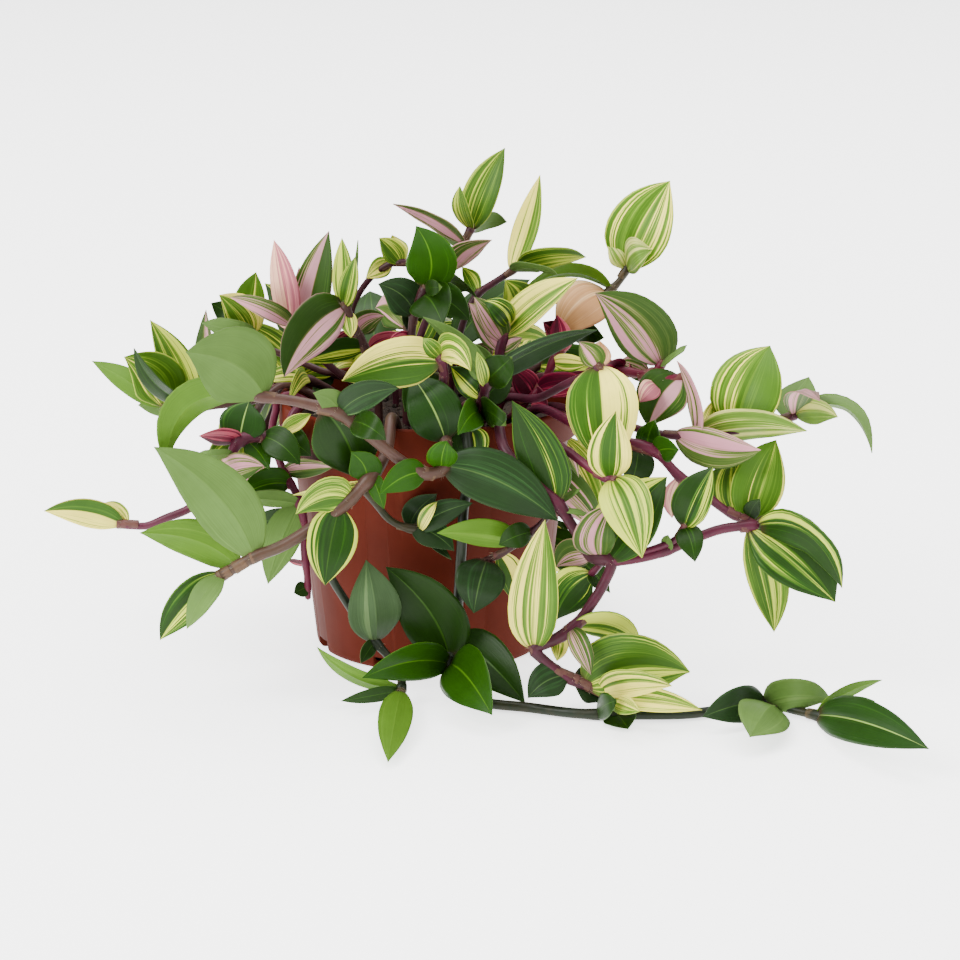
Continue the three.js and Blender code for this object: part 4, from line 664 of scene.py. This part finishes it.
def grow():
    """Every stem with its leaves, each leaf bent clear as in the part's source."""
    stems = seen_stems() + hidden_stems()
    crowd = Crowd()
    for owner, stem in enumerate(stems):
        for line in stem.lines:
            for a, b in zip(line.axis, line.axis[1:]):
                n = math.ceil(norm(b - a) / STEM_SAMPLE)
                k = (np.arange(n + 1) / n)[:, None]
                crowd.keep(a * (1 - k) + b * k, line.radius + STEM_NEED, owner, np.zeros(n + 1, bool))
    leaves = [(leaf, owner) for owner, stem in enumerate(stems) for leaf in stem.leaves]
    leaves.sort(key=lambda pair: (pair[0].sprig, -pair[0].length * pair[0].width))
    for leaf, owner in leaves:
        wrong, _, leaf.bend = settle(crowd, leaf, owner)
        allowed = 0 if leaf.hidden else MAY_TOUCH
        leaf.left = wrong > allowed and (leaf.hidden or leaf.length < SMALL_LEAF)
        if not leaf.left:
            points, outer = coarse_samples(leaf, leaf.bend)
            crowd.keep(points, LEAF_NEED, owner, outer)
    return stems


# ---- meshes ----
class Build:
    """Gathers closed pieces of surface, with what their material reads at each point."""

    def __init__(self):
        self.points, self.faces, self.slots, self.blade, self.traits = [], [], [], [], []
        self.count = 0

    def add(self, points, faces, slot, blade, traits):
        """points in mm; blade is (across, along, seed) and traits (side, tone, under) at each of them."""
        n = len(points)
        self.points.append(np.maximum(points, [-np.inf, -np.inf, 0]))       # nothing dips into the ground
        self.faces += [tuple(v + self.count for v in f) for f in faces]
        self.slots += [slot] * len(faces)
        self.blade.append(np.broadcast_to(blade, (n, 3)))
        self.traits.append(np.broadcast_to(traits, (n, 3)))
        self.count += n

    def object(self, name, materials, replaces):
        mesh = bpy.data.meshes.new(name)
        mesh.from_pydata((np.concatenate(self.points) * MM).tolist(), [], self.faces)
        used = sorted(set(self.slots))
        for key in used:
            mesh.materials.append(materials[key])
        mesh.polygons.foreach_set("material_index", [used.index(k) for k in self.slots])
        mesh.polygons.foreach_set("use_smooth", [True] * len(self.faces))
        for label, rows in (("blade", self.blade), ("traits", self.traits)):
            data = mesh.attributes.new(label, "FLOAT_VECTOR", "POINT")
            data.data.foreach_set("vector", np.concatenate(rows).astype(np.float32).ravel())
        mesh.update()
        obj = bpy.data.objects.new(name, mesh)
        bpy.context.scene.collection.objects.link(obj)
        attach(obj, "root")
        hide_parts(*replaces)
        return obj


def strip(rows, wide, closed):
    """Faces between neighbouring rows of points, each row closed into a ring or not."""
    return [(i * wide + k, i * wide + (k + 1) % wide, (i + 1) * wide + (k + 1) % wide, (i + 1) * wide + k)
            for i in range(rows - 1) for k in range(wide if closed else wide - 1)]


def capped(rows, sides):
    """Faces of a tube of rings, with one more point for each end after the last ring."""
    first, last, end = rows * sides, rows * sides + 1, (rows - 1) * sides
    faces = strip(rows, sides, True)
    faces += [(first, (k + 1) % sides, k) for k in range(sides)]
    return faces + [(last, end + k, end + (k + 1) % sides) for k in range(sides)]


def thin_shell(n, m):
    """Faces of two grids, each of n rows of m points, back to back and joined round their edge."""
    count = n * m
    grid = strip(n, m, False)
    edge = [*range(m)] + [i * m + m - 1 for i in range(1, n)]
    edge += [(n - 1) * m + k for k in range(m - 2, -1, -1)] + [i * m for i in range(n - 2, 0, -1)]
    faces = [f[::-1] for f in grid] + [tuple(v + count for v in f) for f in grid]
    return faces + [(a, b, b + count, a + count) for a, b in zip(edge, edge[1:] + edge[:1])]


# The blade's outline: shares of its half width at places along it; and where its mesh has points.
FORM_AT = [0, 0.03, 0.08, 0.16, 0.26, 0.38, 0.5, 0.61, 0.72, 0.82, 0.89, 0.945, 0.98, 1]
FORM_WIDE = [0.12, 0.34, 0.54, 0.76, 0.93, 1, 0.98, 0.9, 0.74, 0.53, 0.34, 0.17, 0.06, 0.012]
ACROSS = np.array([-1, -0.86, -0.64, -0.42, -0.2, -0.05, 0, 0.05, 0.2, 0.42, 0.64, 0.86, 1])
STATIONS = np.array([0, 0.03, 0.07, 0.12, 0.18, 0.25, 0.32, 0.4, 0.48, 0.56, 0.64, 0.72, 0.79, 0.85, 0.9,
                     0.94, 0.97, 0.988, 1])
RIB_HALF, MARGIN_HALF = 0.27, 0.14        # half the blade's thickness at its rib and margin
FLATTER = 0.25                            # how much of the fold a small or hidden leaf has
GROOVE, GROOVE_HALF = 0.012, 0.09         # depth and half width of the groove over the rib, in half widths
WAVE = 0.03                               # height of the margin's waves, in half widths
TURN = 6.28                               # a full turn, for seeded phases and angles


def blade(build, leaf, draw):
    """A leaf: a thin closed blade, folded along its rib, with rounded halves and a slightly waved margin."""
    at, across, up, long = leaf_frame(leaf, leaf.bend, STATIONS)
    half = np.interp(STATIONS, FORM_AT, FORM_WIDE) * (leaf.width / 2)
    half[0] = max(half[0], NECK_W / 2)
    seed, either, tone = draw(), 1 if draw() < 0.5 else -1, draw()
    side = {"+": 1, "-": -1}.get(leaf.kind[1:], either)       # the half that is more striped
    u, t = ACROSS[None, :], STATIONS[:, None]
    fold = FOLD * (FLATTER if leaf.hidden or long < FLAT_LEAF else 1)
    dome = fold * 1.25 * np.abs(u) ** 0.9 - fold * 0.35 * np.abs(u) ** 3
    groove = -GROOVE * np.exp(-(u / GROOVE_HALF) ** 2)
    wave = WAVE * np.sin(t * (9 + 5 * seed) + TURN * tone + 1.2 * np.sign(u)) * u ** 2 * np.sin(math.pi * t)
    rise = half[:, None] * (dome + wave + groove)
    middle = at[:, None] + across[:, None] * (half[:, None] * u)[..., None] + up[:, None] * rise[..., None]
    thick = RIB_HALF + (MARGIN_HALF - RIB_HALF) * np.abs(u) ** 0.7
    thick = up[:, None] * np.minimum(thick * np.ones_like(t), 0.12 + half[:, None])[..., None]
    n, m = len(STATIONS), len(ACROSS)
    faces, centre = thin_shell(n, m), n // 2
    if np.cross(across[centre], np.gradient(at, axis=0)[centre]) @ up[centre] < 0:
        faces = [f[::-1] for f in faces]
    info = np.stack([u * np.ones_like(t), t * np.ones_like(u), np.full((n, m), seed)], -1).reshape(-1, 3)
    traits = np.repeat([[side, tone, 0.0], [side, tone, 1.0]], n * m, axis=0)
    points = np.concatenate([(middle + thick).reshape(-1, 3), (middle - thick).reshape(-1, 3)])
    build.add(points, faces, leaf.kind[0], np.concatenate([info, info]), traits)


def sweep(build, axis, radii, sides, slot, seed, tone, thin_end=True):
    """A round closed tube along a line of points. Its material reads how far along it is, in 20 mm."""
    axis = np.array(axis)
    along = np.gradient(axis, axis=0)
    along /= np.linalg.norm(along, axis=1, keepdims=True)
    side, rings = np.array([1.0, 0.05, 0.0]), []
    a = 2 * math.pi * np.arange(sides)[:, None] / sides
    for p, d, r in zip(axis, along, radii):
        side = unit(side - d * float(side @ d))
        rings.append(p + (side * np.cos(a) + cross(d, side) * np.sin(a)) * r)
    ends = np.stack([axis[0], axis[-1] + along[-1] * (radii[-1] * 0.8 if thin_end else 0)])
    n = len(rings)
    gone = np.concatenate([[0], np.cumsum(np.linalg.norm(np.diff(axis, axis=0), axis=1))])
    info = np.repeat(np.stack([np.zeros(n), gone / 20, np.full(n, seed)], 1), sides, axis=0)
    info = np.concatenate([info, info[:1], info[-1:]])
    build.add(np.concatenate([*rings, ends]), capped(n, sides), slot, info, (1, tone, 0))


THIN_STEM = 1.25          # a stem no thicker than this has no sheaths
SHEATH_LONG = 5.6
SHEATH_AT = np.array([-0.8, -0.75, -0.4, 0.0, 0.25, 0.32, 0.3])         # places along it, in its lengths
SHEATH_WIDE = np.array([0.98, 1.03, 1.06, 1.1, 1.16, 1.13, 0.9])        # radius there, in the stem's
HAIRS = 9


def sheath(build, base, grows, radius, tone, draw):
    """The thin collar that a leaf's foot wraps round its stem, with short hairs at its mouth."""
    long = SHEATH_LONG * (0.75 + 0.4 * draw())
    seed = draw()
    axis = base + grows * (SHEATH_AT * long)[:, None]
    axis[-1] = axis[-2] - grows * 0.05
    sweep(build, axis, SHEATH_WIDE * radius, 12, "sheath", seed, tone, False)
    side = unit(cross(grows, np.array([0.3, 0.2, 1.0])))
    other = cross(grows, side)
    for k in range(HAIRS):
        a = 2 * math.pi * (k + draw()) / HAIRS
        out = side * math.cos(a) + other * math.sin(a)
        start = base + grows * (0.3 * long) + out * radius * 1.06
        end = start + (grows * 1.1 + out * 0.7) * (0.6 + 0.7 * draw())
        sweep(build, [start, (start + end) / 2, end], [0.05, 0.04, 0.02], 3, "hair", seed, tone)


def stem_radii(line, points, leaves):
    """The stem's radius along it: a little thicker at each node, thinner towards its tip."""
    r = np.full(len(points), line.radius, float)
    for leaf in leaves:
        gap = np.linalg.norm(points - leaf.base, axis=1)
        r += 0.22 * line.radius * np.exp(-(gap / 2.6) ** 2)
    left = np.linspace(1, 0, len(points))
    return r * (0.8 + 0.2 * np.minimum(1, left * 5))


def leafy_stem(stem, materials, index):
    """The two pieces for a stem's node: its leaves, and its shoots with their sheaths and hairs."""
    draw = draws(500 + 37 * index)
    leaves = [leaf for leaf in stem.leaves if not leaf.left]
    foliage, shoot = Build(), Build()
    for leaf in leaves:
        blade(foliage, leaf, draw)
    for line in stem.lines:
        points = np.array(line.fine)
        sweep(shoot, points, stem_radii(line, points, leaves), 12, "stem", draw(), line.tone)
        for leaf in leaves:
            if leaf.radius == line.radius > THIN_STEM and leaf.base[2] > 1 and not leaf.sprig:
                sheath(shoot, leaf.base, leaf.grows, leaf.radius, line.tone, draw)
    foliage.object(f"leaves_{stem.name}", materials, [f"stem_{stem.name}"])
    shoot.object(f"shoot_{stem.name}", materials, [f"stem_{stem.name}"])


# ---- materials ----
def srgb(r, g, b):
    """A colour given as 0 to 255 on screen, as the shader's linear values."""
    def part(c):
        c /= 255
        return c / 12.92 if c <= 0.04045 else ((c + 0.055) / 1.055) ** 2.4
    return (part(r), part(g), part(b), 1)


class Value:
    """What a material's nodes work out at each point of a surface: a number, a colour or a place."""

    def __init__(self, nodes, socket):
        self.nodes, self.socket = nodes, socket

    def __add__(self, other):
        return self.nodes.math("ADD", self, other)

    def __sub__(self, other):
        return self.nodes.math("SUBTRACT", self, other)

    def __rsub__(self, other):
        return self.nodes.math("SUBTRACT", other, self)

    def __mul__(self, other):
        return self.nodes.math("MULTIPLY", self, other)

    def __abs__(self):
        return self.nodes.math("ABSOLUTE", self)


class Nodes:
    """A material's nodes, in short forms. Colours are (red, green, blue) from 0 to 255 on screen."""

    def __init__(self, name):
        self.material = bpy.data.materials.new(name)
        self.material.use_nodes = True
        self.tree = self.material.node_tree
        self.shader = self.tree.nodes["Principled BSDF"]

    def set(self, socket, value):
        if isinstance(value, Value):
            self.tree.links.new(value.socket, socket)
        else:
            socket.default_value = srgb(*value) if socket.type == "RGBA" else value

    def node(self, kind, inputs, out=0, **settings):
        node = self.tree.nodes.new(kind)
        for key, value in settings.items():
            setattr(node, key, value)
        for key, value in inputs.items():
            self.set(node.inputs[key], value)
        return Value(self, node.outputs[out])

    def math(self, operation, *numbers):
        return self.node("ShaderNodeMath", dict(enumerate(numbers)), operation=operation)

    def vector(self, x, y, z):
        return self.node("ShaderNodeCombineXYZ", {0: x, 1: y, 2: z})

    def place(self):
        return self.node("ShaderNodeTexCoord", {}, "Object")

    def parts(self, name):
        """The three numbers that the mesh holds at each point under this name."""
        vector = self.node("ShaderNodeAttribute", {}, "Vector", attribute_name=name)
        return [self.node("ShaderNodeSeparateXYZ", {0: vector}, axis) for axis in range(3)]

    def mix(self, factor, a, b):
        return self.node("ShaderNodeMix", {0: factor, 6: a, 7: b}, 2, data_type="RGBA")

    def step(self, value, low, high):
        """0 below low, 1 above high, smooth between."""
        inputs = {"Value": value, "From Min": low, "From Max": high}
        return self.node("ShaderNodeMapRange", inputs, interpolation_type="SMOOTHSTEP")

    def noise(self, vector, scale, detail=2, roughness=0.5):
        inputs = {"Vector": vector, "Scale": scale, "Detail": detail, "Roughness": roughness}
        return self.node("ShaderNodeTexNoise", inputs)

    def ramp(self, value, stops):
        ramp = self.node("ShaderNodeValToRGB", {"Fac": value})
        elements = ramp.socket.node.color_ramp.elements
        while len(elements) < len(stops):
            elements.new(0.5)
        for element, (position, colour) in zip(elements, stops):
            element.position = position
            element.color = srgb(*colour)
        return ramp

    def bump(self, height, strength, distance):
        inputs = {"Height": height, "Strength": strength, "Distance": distance}
        self.set(self.shader.inputs["Normal"], self.node("ShaderNodeBump", inputs))

    def finish(self, colour, roughness, **sockets):
        for key, value in {"Base_Color": colour, "Roughness": roughness, **sockets}.items():
            self.set(self.shader.inputs[key.replace("_", " ")], value)
        return self.material


# Each kind of leaf. deep to stripe: its colours from the darkest to its stripes; begins: lower gives more of
# the stripe colour; bands: stripes across; half and edge: how much more striped one half and the margins are;
# margin_from: where the margin band begins, 1 at the edge; names with "shows": how far that colour covers.
Look = namedtuple("Look", "deep green pale stripe rib margin under begins bands half edge rib_shows "
                  "margin_from margin_shows rough under_shows",
                  defaults=[0.03, 0, 0.4, 0.95, 0.5, 0.42, 0.72])
CREAM = (220, 208, 92)
YELLOW = (178, 188, 60)
LIME_RIB = (110, 140, 46)
WINE = (80, 34, 46)
KINDS = {
    "A": Look((48, 78, 18), (70, 104, 26), (116, 142, 44), YELLOW, LIME_RIB, YELLOW, (100, 126, 44), 0.555,
              8, rib_shows=0.3, margin_from=0.94),
    "B": Look((40, 68, 14), (60, 92, 22), (114, 136, 42), CREAM, LIME_RIB, CREAM, (112, 130, 54), 0.57, 7,
              half=0.1, rib_shows=0.3, margin_from=0.94),
    "C": Look((46, 70, 22), (72, 90, 36), (130, 128, 78), (180, 122, 134), (116, 94, 64), (136, 112, 80),
              (118, 84, 86), 0.55, 7, half=0.05, edge=-0.12, margin_shows=0.6),
    "D": Look((22, 46, 5), (36, 72, 7), (50, 88, 12), (62, 102, 26), (64, 102, 30), (54, 92, 18),
              (74, 100, 40), 0.74, 4, half=0, margin_shows=0.4, rough=0.36),
    "E": Look((58, 82, 36), (72, 98, 44), (88, 116, 56), (108, 134, 72), (96, 122, 58), (96, 92, 60),
              (80, 108, 48), 0.66, 4, margin_shows=0.3, rough=0.55),
    "F": Look((58, 7, 24), (98, 11, 40), (132, 30, 56), (156, 66, 80), (136, 44, 68), (156, 76, 88),
              (106, 18, 48), 0.58, 4, half=0.06, margin_from=0.93),
    "G": Look((60, 94, 20), (88, 122, 32), (146, 162, 54), CREAM, LIME_RIB, YELLOW, (138, 150, 64), 0.52, 8,
              half=0.04, edge=0.02, rib_shows=0.3, margin_from=0.94, margin_shows=0.6),
    "H": Look((34, 58, 12), (50, 78, 20), (104, 102, 54), (174, 126, 132), (94, 84, 48), (150, 110, 104),
              (96, 84, 60), 0.575, 4, half=0.1, edge=0.02, margin_shows=0.6, rough=0.4),
    "J": Look((44, 76, 14), (64, 100, 22), (118, 142, 44), CREAM, LIME_RIB, CREAM, (112, 130, 54), 0.55, 8,
              half=0.115, rib_shows=0.3, margin_from=0.94),
    "K": Look((24, 42, 18), (32, 58, 26), (42, 70, 34), (72, 98, 52), (66, 92, 46), (54, 76, 36),
              (58, 78, 42), 0.67, 5, rib_shows=0.6, margin_shows=0.3, rough=0.38),
    "L": Look((60, 94, 20), (74, 110, 26), (92, 130, 38), (112, 146, 56), (102, 136, 48), (112, 126, 58),
              (74, 108, 26), 0.66, 4, rib_shows=0.5, margin_shows=0.4, rough=0.5),
    "M": Look((24, 50, 8), (36, 72, 10), (58, 96, 20), YELLOW, (66, 100, 28), YELLOW, (86, 112, 46), 0.62,
              5, half=0.04, edge=0.1, rib_shows=0.3, margin_from=0.82, margin_shows=1, rough=0.38),
    "N": Look((40, 72, 14), (60, 96, 20), (126, 148, 40), CREAM, (56, 90, 20), CREAM, (150, 160, 70), 0.54,
              5, half=0, edge=0.26, rib_shows=0.8, margin_from=0.82, margin_shows=1),
    "P": Look((150, 84, 94), (182, 112, 114), (206, 144, 130), (218, 172, 144), (182, 104, 104),
              (160, 84, 92), (178, 112, 108), 0.56, 4, half=0.04, rib_shows=0.3, margin_from=0.94,
              rough=0.46),
    "R": Look((58, 92, 16), (84, 120, 26), (124, 148, 44), CREAM, LIME_RIB, YELLOW, (112, 138, 50), 0.6, 7,
              half=0.04, rib_shows=0.3, margin_from=0.94),
    "S": Look((24, 48, 8), (36, 72, 12), (92, 124, 34), YELLOW, (70, 104, 32), (84, 118, 34), (76, 100, 42),
              0.6, 5, half=0.07, edge=0.02, rough=0.38),
    "T": Look((170, 124, 80), (184, 140, 96), (196, 154, 108), (206, 170, 124), (150, 106, 72),
              (150, 100, 80), (150, 120, 74), 0.56, 4, half=0.05, rough=0.46),
    "V": Look((28, 62, 2), (41, 84, 2), (56, 100, 6), (76, 120, 18), (84, 130, 20), (70, 114, 12),
              (76, 112, 30), 0.72, 4, half=0, rib_shows=0.5, margin_shows=0.3, rough=0.36),
    "W": Look((26, 52, 14), (38, 70, 20), (52, 86, 28), (76, 110, 40), (122, 150, 72), (52, 82, 28),
              (70, 96, 46), 0.68, 4, half=0, rib_shows=1, margin_shows=0.3, rough=0.36),
    "Y": Look((60, 94, 22), (84, 118, 36), (128, 148, 60), (196, 192, 104), LIME_RIB, (176, 160, 104),
              (106, 132, 50), 0.535, 6, margin_from=0.94, margin_shows=0.6, rough=0.46, under_shows=0.3),
    # Z: the grey-green underside of E made darker, as painted shade for a leaf that hangs in the shade in
    # front of the pot
    "Z": Look((38, 54, 30), (50, 70, 40), (66, 88, 52), (88, 110, 66), (76, 98, 58), (66, 84, 48),
              (50, 70, 40), 0.64, 4, margin_from=0.96, margin_shows=0.3, rough=0.5, under_shows=0.5),
}


def leaf_skin(kind):
    look = KINDS[kind]
    n = Nodes(f"leaf_{kind}")
    u, t, seed = n.parts("blade")
    side, tone, below = n.parts("traits")
    broad = n.noise(n.vector(u * (look.bands * 0.5), t * 0.34, seed * 57), 1.0)
    thin = n.noise(n.vector(u * (look.bands * 2.4), t * 0.42, seed * 91), 1.0)
    veins = n.noise(n.vector(u * 28, t * 1.7, seed), 1.0)
    paler_half = n.step(u * side, -0.06, 0.06) - 0.5
    value = broad * 0.62 + thin * 0.38 + paler_half * (2 * look.half) + (abs(u) - 0.5) * look.edge
    value += (tone - 0.5) * 0.05 + (veins - 0.5) * 0.16
    colour = n.ramp(value, [(look.begins - 0.14, look.deep), (look.begins - 0.05, look.green),
                            (look.begins - 0.014, look.pale), (look.begins + 0.008, look.stripe)])
    on_rib = (1 - n.step(abs(u), 0.01, 0.05)) * look.rib_shows
    colour = n.mix(on_rib, colour, look.rib)
    on_margin = n.step((thin - 0.5) * 0.3 + abs(u), look.margin_from, look.margin_from + 0.05)
    colour = n.mix(on_margin * look.margin_shows, colour, look.margin)
    colour = n.mix((1 - n.step(t, 0.0, 0.1)) * 0.5, colour, WINE)
    colour = n.mix(below * look.under_shows, colour, look.under)
    cloud = n.noise(n.place(), 70, 3, 0.6)
    shade = (veins * 0.34 + 0.83) * (cloud * 0.5 + 0.75) * (tone * 0.3 + 0.85)
    colour = n.node("ShaderNodeVectorMath", {0: colour, 1: shade}, operation="MULTIPLY")
    n.bump(veins * 0.6 - on_rib * 0.8, 0.35, 0.0004)
    return n.finish(colour, (thin - 0.5) * 0.2 + look.rough, Specular_IOR_Level=0.1)


def stem_colour(n):
    """The colour of a stem or sheath, as its tone says, and the fine spots on it."""
    _, along, seed = n.parts("blade")
    _, tone, _ = n.parts("traits")
    spots = n.noise(n.place(), 420, 3, 0.6)
    slow = n.noise(n.vector(along, seed, 0), 1.4)
    # The last stop, the darkest grey green, was made this dark as painted shade for the stems lying low in
    # the shade; elsewhere it is a stem's own colour.
    tones = [(84, 12, 34), (74, 23, 42), (44, 17, 23), (67, 45, 36), (50, 42, 24), (22, 30, 16)]
    stops = [(0.2 * k, colour) for k, colour in enumerate(tones)]
    return n.ramp((slow - 0.5) * 0.34 + tone + (spots - 0.5) * 0.2, stops), spots


def stem_skin():
    n = Nodes("stem_skin")
    colour, spots = stem_colour(n)
    n.bump(spots, 0.25, 0.0003)
    return n.finish(colour, 0.42, Specular_IOR_Level=0.2)


def sheath_skin():
    n = Nodes("sheath_skin")
    colour, _ = stem_colour(n)
    fibres = n.noise(n.place(), 900, 2, 0.6)
    n.bump(fibres, 0.3, 0.0003)
    return n.finish(n.mix(fibres * 0.4 + 0.05, colour, (116, 92, 62)), 0.5, Specular_IOR_Level=0.2)


def hair_skin():
    return Nodes("hair_skin").finish((150, 140, 116), 0.6)


def pot_skin():
    n = Nodes("pot_skin")
    cloud = n.noise(n.place(), 26, 4, 0.6)
    grain = n.noise(n.place(), 900)
    stretched = n.node("ShaderNodeMapping", {0: n.place(), "Scale": (1, 1, 0.12)})
    streak = n.noise(stretched, 160, 3, 0.65)
    colour = n.ramp(cloud, [(0.3, (66, 20, 8)), (0.7, (77, 25, 12))])
    colour = n.mix(n.step(streak, 0.64, 0.76) * 0.2, colour, (100, 48, 34))
    n.bump(grain * 0.5 + streak, 0.12, 0.0003)
    return n.finish(colour, streak * 0.16 + 0.5, Specular_IOR_Level=0.05)


def soil_skin():
    n = Nodes("soil_skin")
    crumbs = n.noise(n.place(), 420, 5, 0.7)
    patches = n.noise(n.place(), 90, 3, 0.6)
    colour = n.ramp(crumbs, [(0.3, (18, 12, 9)), (0.55, (36, 26, 19)), (0.72, (64, 50, 38))])
    colour = n.mix(n.step(patches, 0.5, 0.7) * 0.4, colour, (50, 38, 28))
    n.bump(crumbs, 0.9, 0.0012)
    return n.finish(colour, 0.92, Specular_IOR_Level=0.2)


# ---- pot and soil ----
def inner_radius(z):
    return FOOT_R - WALL + (WALL_TOP_R - FOOT_R) * z / (POT_H - COLLAR_H)


def corner(a, b, c, radius, steps=4):
    """The corner b of an outline, rounded between its neighbours a and c."""
    a, b, c = (np.array(p, float) for p in (a, b, c))
    into = (a - b) / np.linalg.norm(a - b) * radius
    out = (c - b) / np.linalg.norm(c - b) * radius
    return [tuple(b + into * (1 - k / steps) ** 2 + out * (k / steps) ** 2) for k in range(steps + 1)]


def turned(build, outline, sides, slot):
    """A closed outline of (radius, height), from axis to axis, turned round the pot's axis."""
    rows = np.array(outline[1:-1])
    r, z = rows[:, :1], rows[:, 1:]
    a = 2 * math.pi * np.arange(sides) / sides
    points = np.stack([r * np.cos(a), r * np.sin(a), np.repeat(z, sides, 1)], -1)
    points = np.concatenate([points.reshape(-1, 3), [[0, 0, outline[0][1]], [0, 0, outline[-1][1]]]])
    build.add(points, capped(len(rows), sides), slot, (0, 0, 0), (1, 0.5, 0))


def pot(materials):
    under, lip, arch = POT_H - COLLAR_H, RIM_R - 2.2, 0.6
    marks = [(FOOT_R - 9, arch, 0), (FOOT_R - 7, 0, 0), (FOOT_R, 0, 2.4), (WALL_TOP_R, under, 0.8),
             (RIM_R, under, 0.9), (RIM_R, POT_H, 1.3), (lip, POT_H, 0.9), (lip - 0.7, under + 1, 1.0),
             (inner_radius(under), under - 2, 1.0), (inner_radius(BASE_T), BASE_T, 3.0),
             (0, BASE_T, 0)]         # radius, height and how far the corner there is rounded
    outline = [(0, arch), marks[0][:2], marks[1][:2]]
    for before, mark, after in zip(marks[1:], marks[2:], marks[3:]):
        outline += corner(before[:2], mark[:2], after[:2], mark[2])
    outline.append(marks[-1][:2])
    build = Build()
    turned(build, outline, 160, "pot")
    obj = build.object("nursery_pot", materials, ["pot"])
    for k in range(NOTCHES):
        a = 2 * math.pi * (k + 0.5) / NOTCHES
        reach = FOOT_R - 0.6
        bpy.ops.mesh.primitive_cube_add(size=MM)
        tool = bpy.context.object
        tool.scale = (5, NOTCH_W, NOTCH_H + 1)
        tool.rotation_euler = (0, 0, a)
        tool.location = Vector((reach * math.cos(a), reach * math.sin(a), NOTCH_H / 2 - 0.5)) * MM
        bpy.context.view_layer.update()
        cut = obj.modifiers.new("notch", "BOOLEAN")
        cut.operation, cut.object, cut.solver = "DIFFERENCE", tool, "EXACT"
        bpy.context.view_layer.objects.active = obj
        bpy.ops.object.modifier_apply(modifier=cut.name)
        bpy.data.objects.remove(tool)


RIPPLES = 26           # waves that make the soil's surface uneven
CRUMBS = 420


def soil(materials):
    """A crumbly mound that fills the pot, with loose crumbs on it."""
    draw = draws(77)
    build = Build()
    low, mid = BASE_T + 0.3, POT_H - COLLAR_H - 2
    rim = inner_radius(mid) - 0.5
    outline = [(0, low), (inner_radius(8) - 6, low), (inner_radius(12) - 2, 12), (rim - 0.3, mid - 1),
               (rim, SOIL_TOP - 0.8)]
    rings = [(r, SOIL_TOP + 0.2) for r in np.linspace(rim - 1.2, 1.5, 40)]
    turned(build, outline + rings + [(0, SOIL_TOP + 0.2)], 120, "soil")
    points = build.points[0]
    top = points[:, 2] > SOIL_TOP - 0.5
    x, y = points[top, 0], points[top, 1]
    rough = np.zeros(len(x))
    for _ in range(RIPPLES):
        angle, size = TURN * draw(), 0.12 + 1.5 * draw()
        rough += np.sin((x * math.cos(angle) + y * math.sin(angle)) * size + TURN * draw()) * 0.16
    points[top, 2] += np.clip(rough, -1.3, 1.3)
    for _ in range(CRUMBS):
        r, a, size = rim * 0.97 * math.sqrt(draw()), TURN * draw(), 0.35 + 0.9 * draw()
        centre = np.array([r * math.cos(a), r * math.sin(a), SOIL_TOP + 0.5 + 0.8 * draw()])
        way = unit(np.array([draw() - 0.5, draw() - 0.5, draw() - 0.5]))
        line = [centre + way * size * k for k in (-1, -0.5, 0.4, 0.9)]
        radii = [size * (0.3 + 0.5 * draw()) for _ in line]
        sweep(build, line, radii, 6, "soil", draw(), 0.5)
    build.object("potting_soil", materials, ["soil"])


# ---- camera, light and floor, in metres ----
SENSOR = 36            # width of the camera's sensor, the one size here in mm
FLOOR_HALF = 4
LAMPS = [("key", (-1.2, -1.0, 1.3), (0, 0, 0.1), 0.9, 54), ("fill", (1.3, -1.1, 0.9), (0, 0, 0.1), 1.1, 18),
         ("sky", (0.0, 0.7, 2.6), (0, 0.7, 0.0), 3.4, 210)]        # name, place, aim, size, power in watts


def camera():
    eye = bpy.data.objects.new("camera", bpy.data.cameras.new("camera"))
    bpy.context.scene.collection.objects.link(eye)
    eye.location = Vector(EYE * MM)
    eye.rotation_euler = (math.pi / 2 - TILT, 0, 0)
    eye.data.sensor_width = SENSOR
    eye.data.lens = SENSOR * FOCAL / PICTURE
    eye.data.clip_start = 0.05
    bpy.context.scene.camera = eye


def floor():
    paint = Nodes("floor").finish((244, 244, 244), 0.9, Specular_IOR_Level=0.05, Emission_Strength=1.9,
                                  Emission_Color=(255, 255, 255))
    mesh = bpy.data.meshes.new("floor")
    corners = [(x * FLOOR_HALF, y * FLOOR_HALF, 0) for x, y in ((-1, -1), (1, -1), (1, 1), (-1, 1))]
    mesh.from_pydata(corners, [], [(0, 1, 2, 3)])
    mesh.materials.append(paint)
    plane = bpy.data.objects.new("floor", mesh)
    bpy.context.scene.collection.objects.link(plane)


def light():
    for name, place, aim, size, power in LAMPS:
        lamp = bpy.data.objects.new(name, bpy.data.lights.new(name, "AREA"))
        lamp.data.size, lamp.data.energy = size, power
        lamp.location = place
        lamp.rotation_euler = (Vector(aim) - Vector(place)).to_track_quat("-Z", "Y").to_euler()
        bpy.context.scene.collection.objects.link(lamp)
    world = bpy.data.worlds.new("studio")
    world.use_nodes = True
    background = world.node_tree.nodes["Background"]
    background.inputs["Color"].default_value = (1, 1, 1, 1)
    background.inputs["Strength"].default_value = 0.75
    bpy.context.scene.world = world


def main():
    camera()
    floor()
    light()
    materials = {kind: leaf_skin(kind) for kind in KINDS}
    materials |= {"stem": stem_skin(), "sheath": sheath_skin(), "hair": hair_skin(), "pot": pot_skin(),
                  "soil": soil_skin()}
    pot(materials)
    soil(materials)
    for index, stem in enumerate(grow()):
        leafy_stem(stem, materials, index)


main()
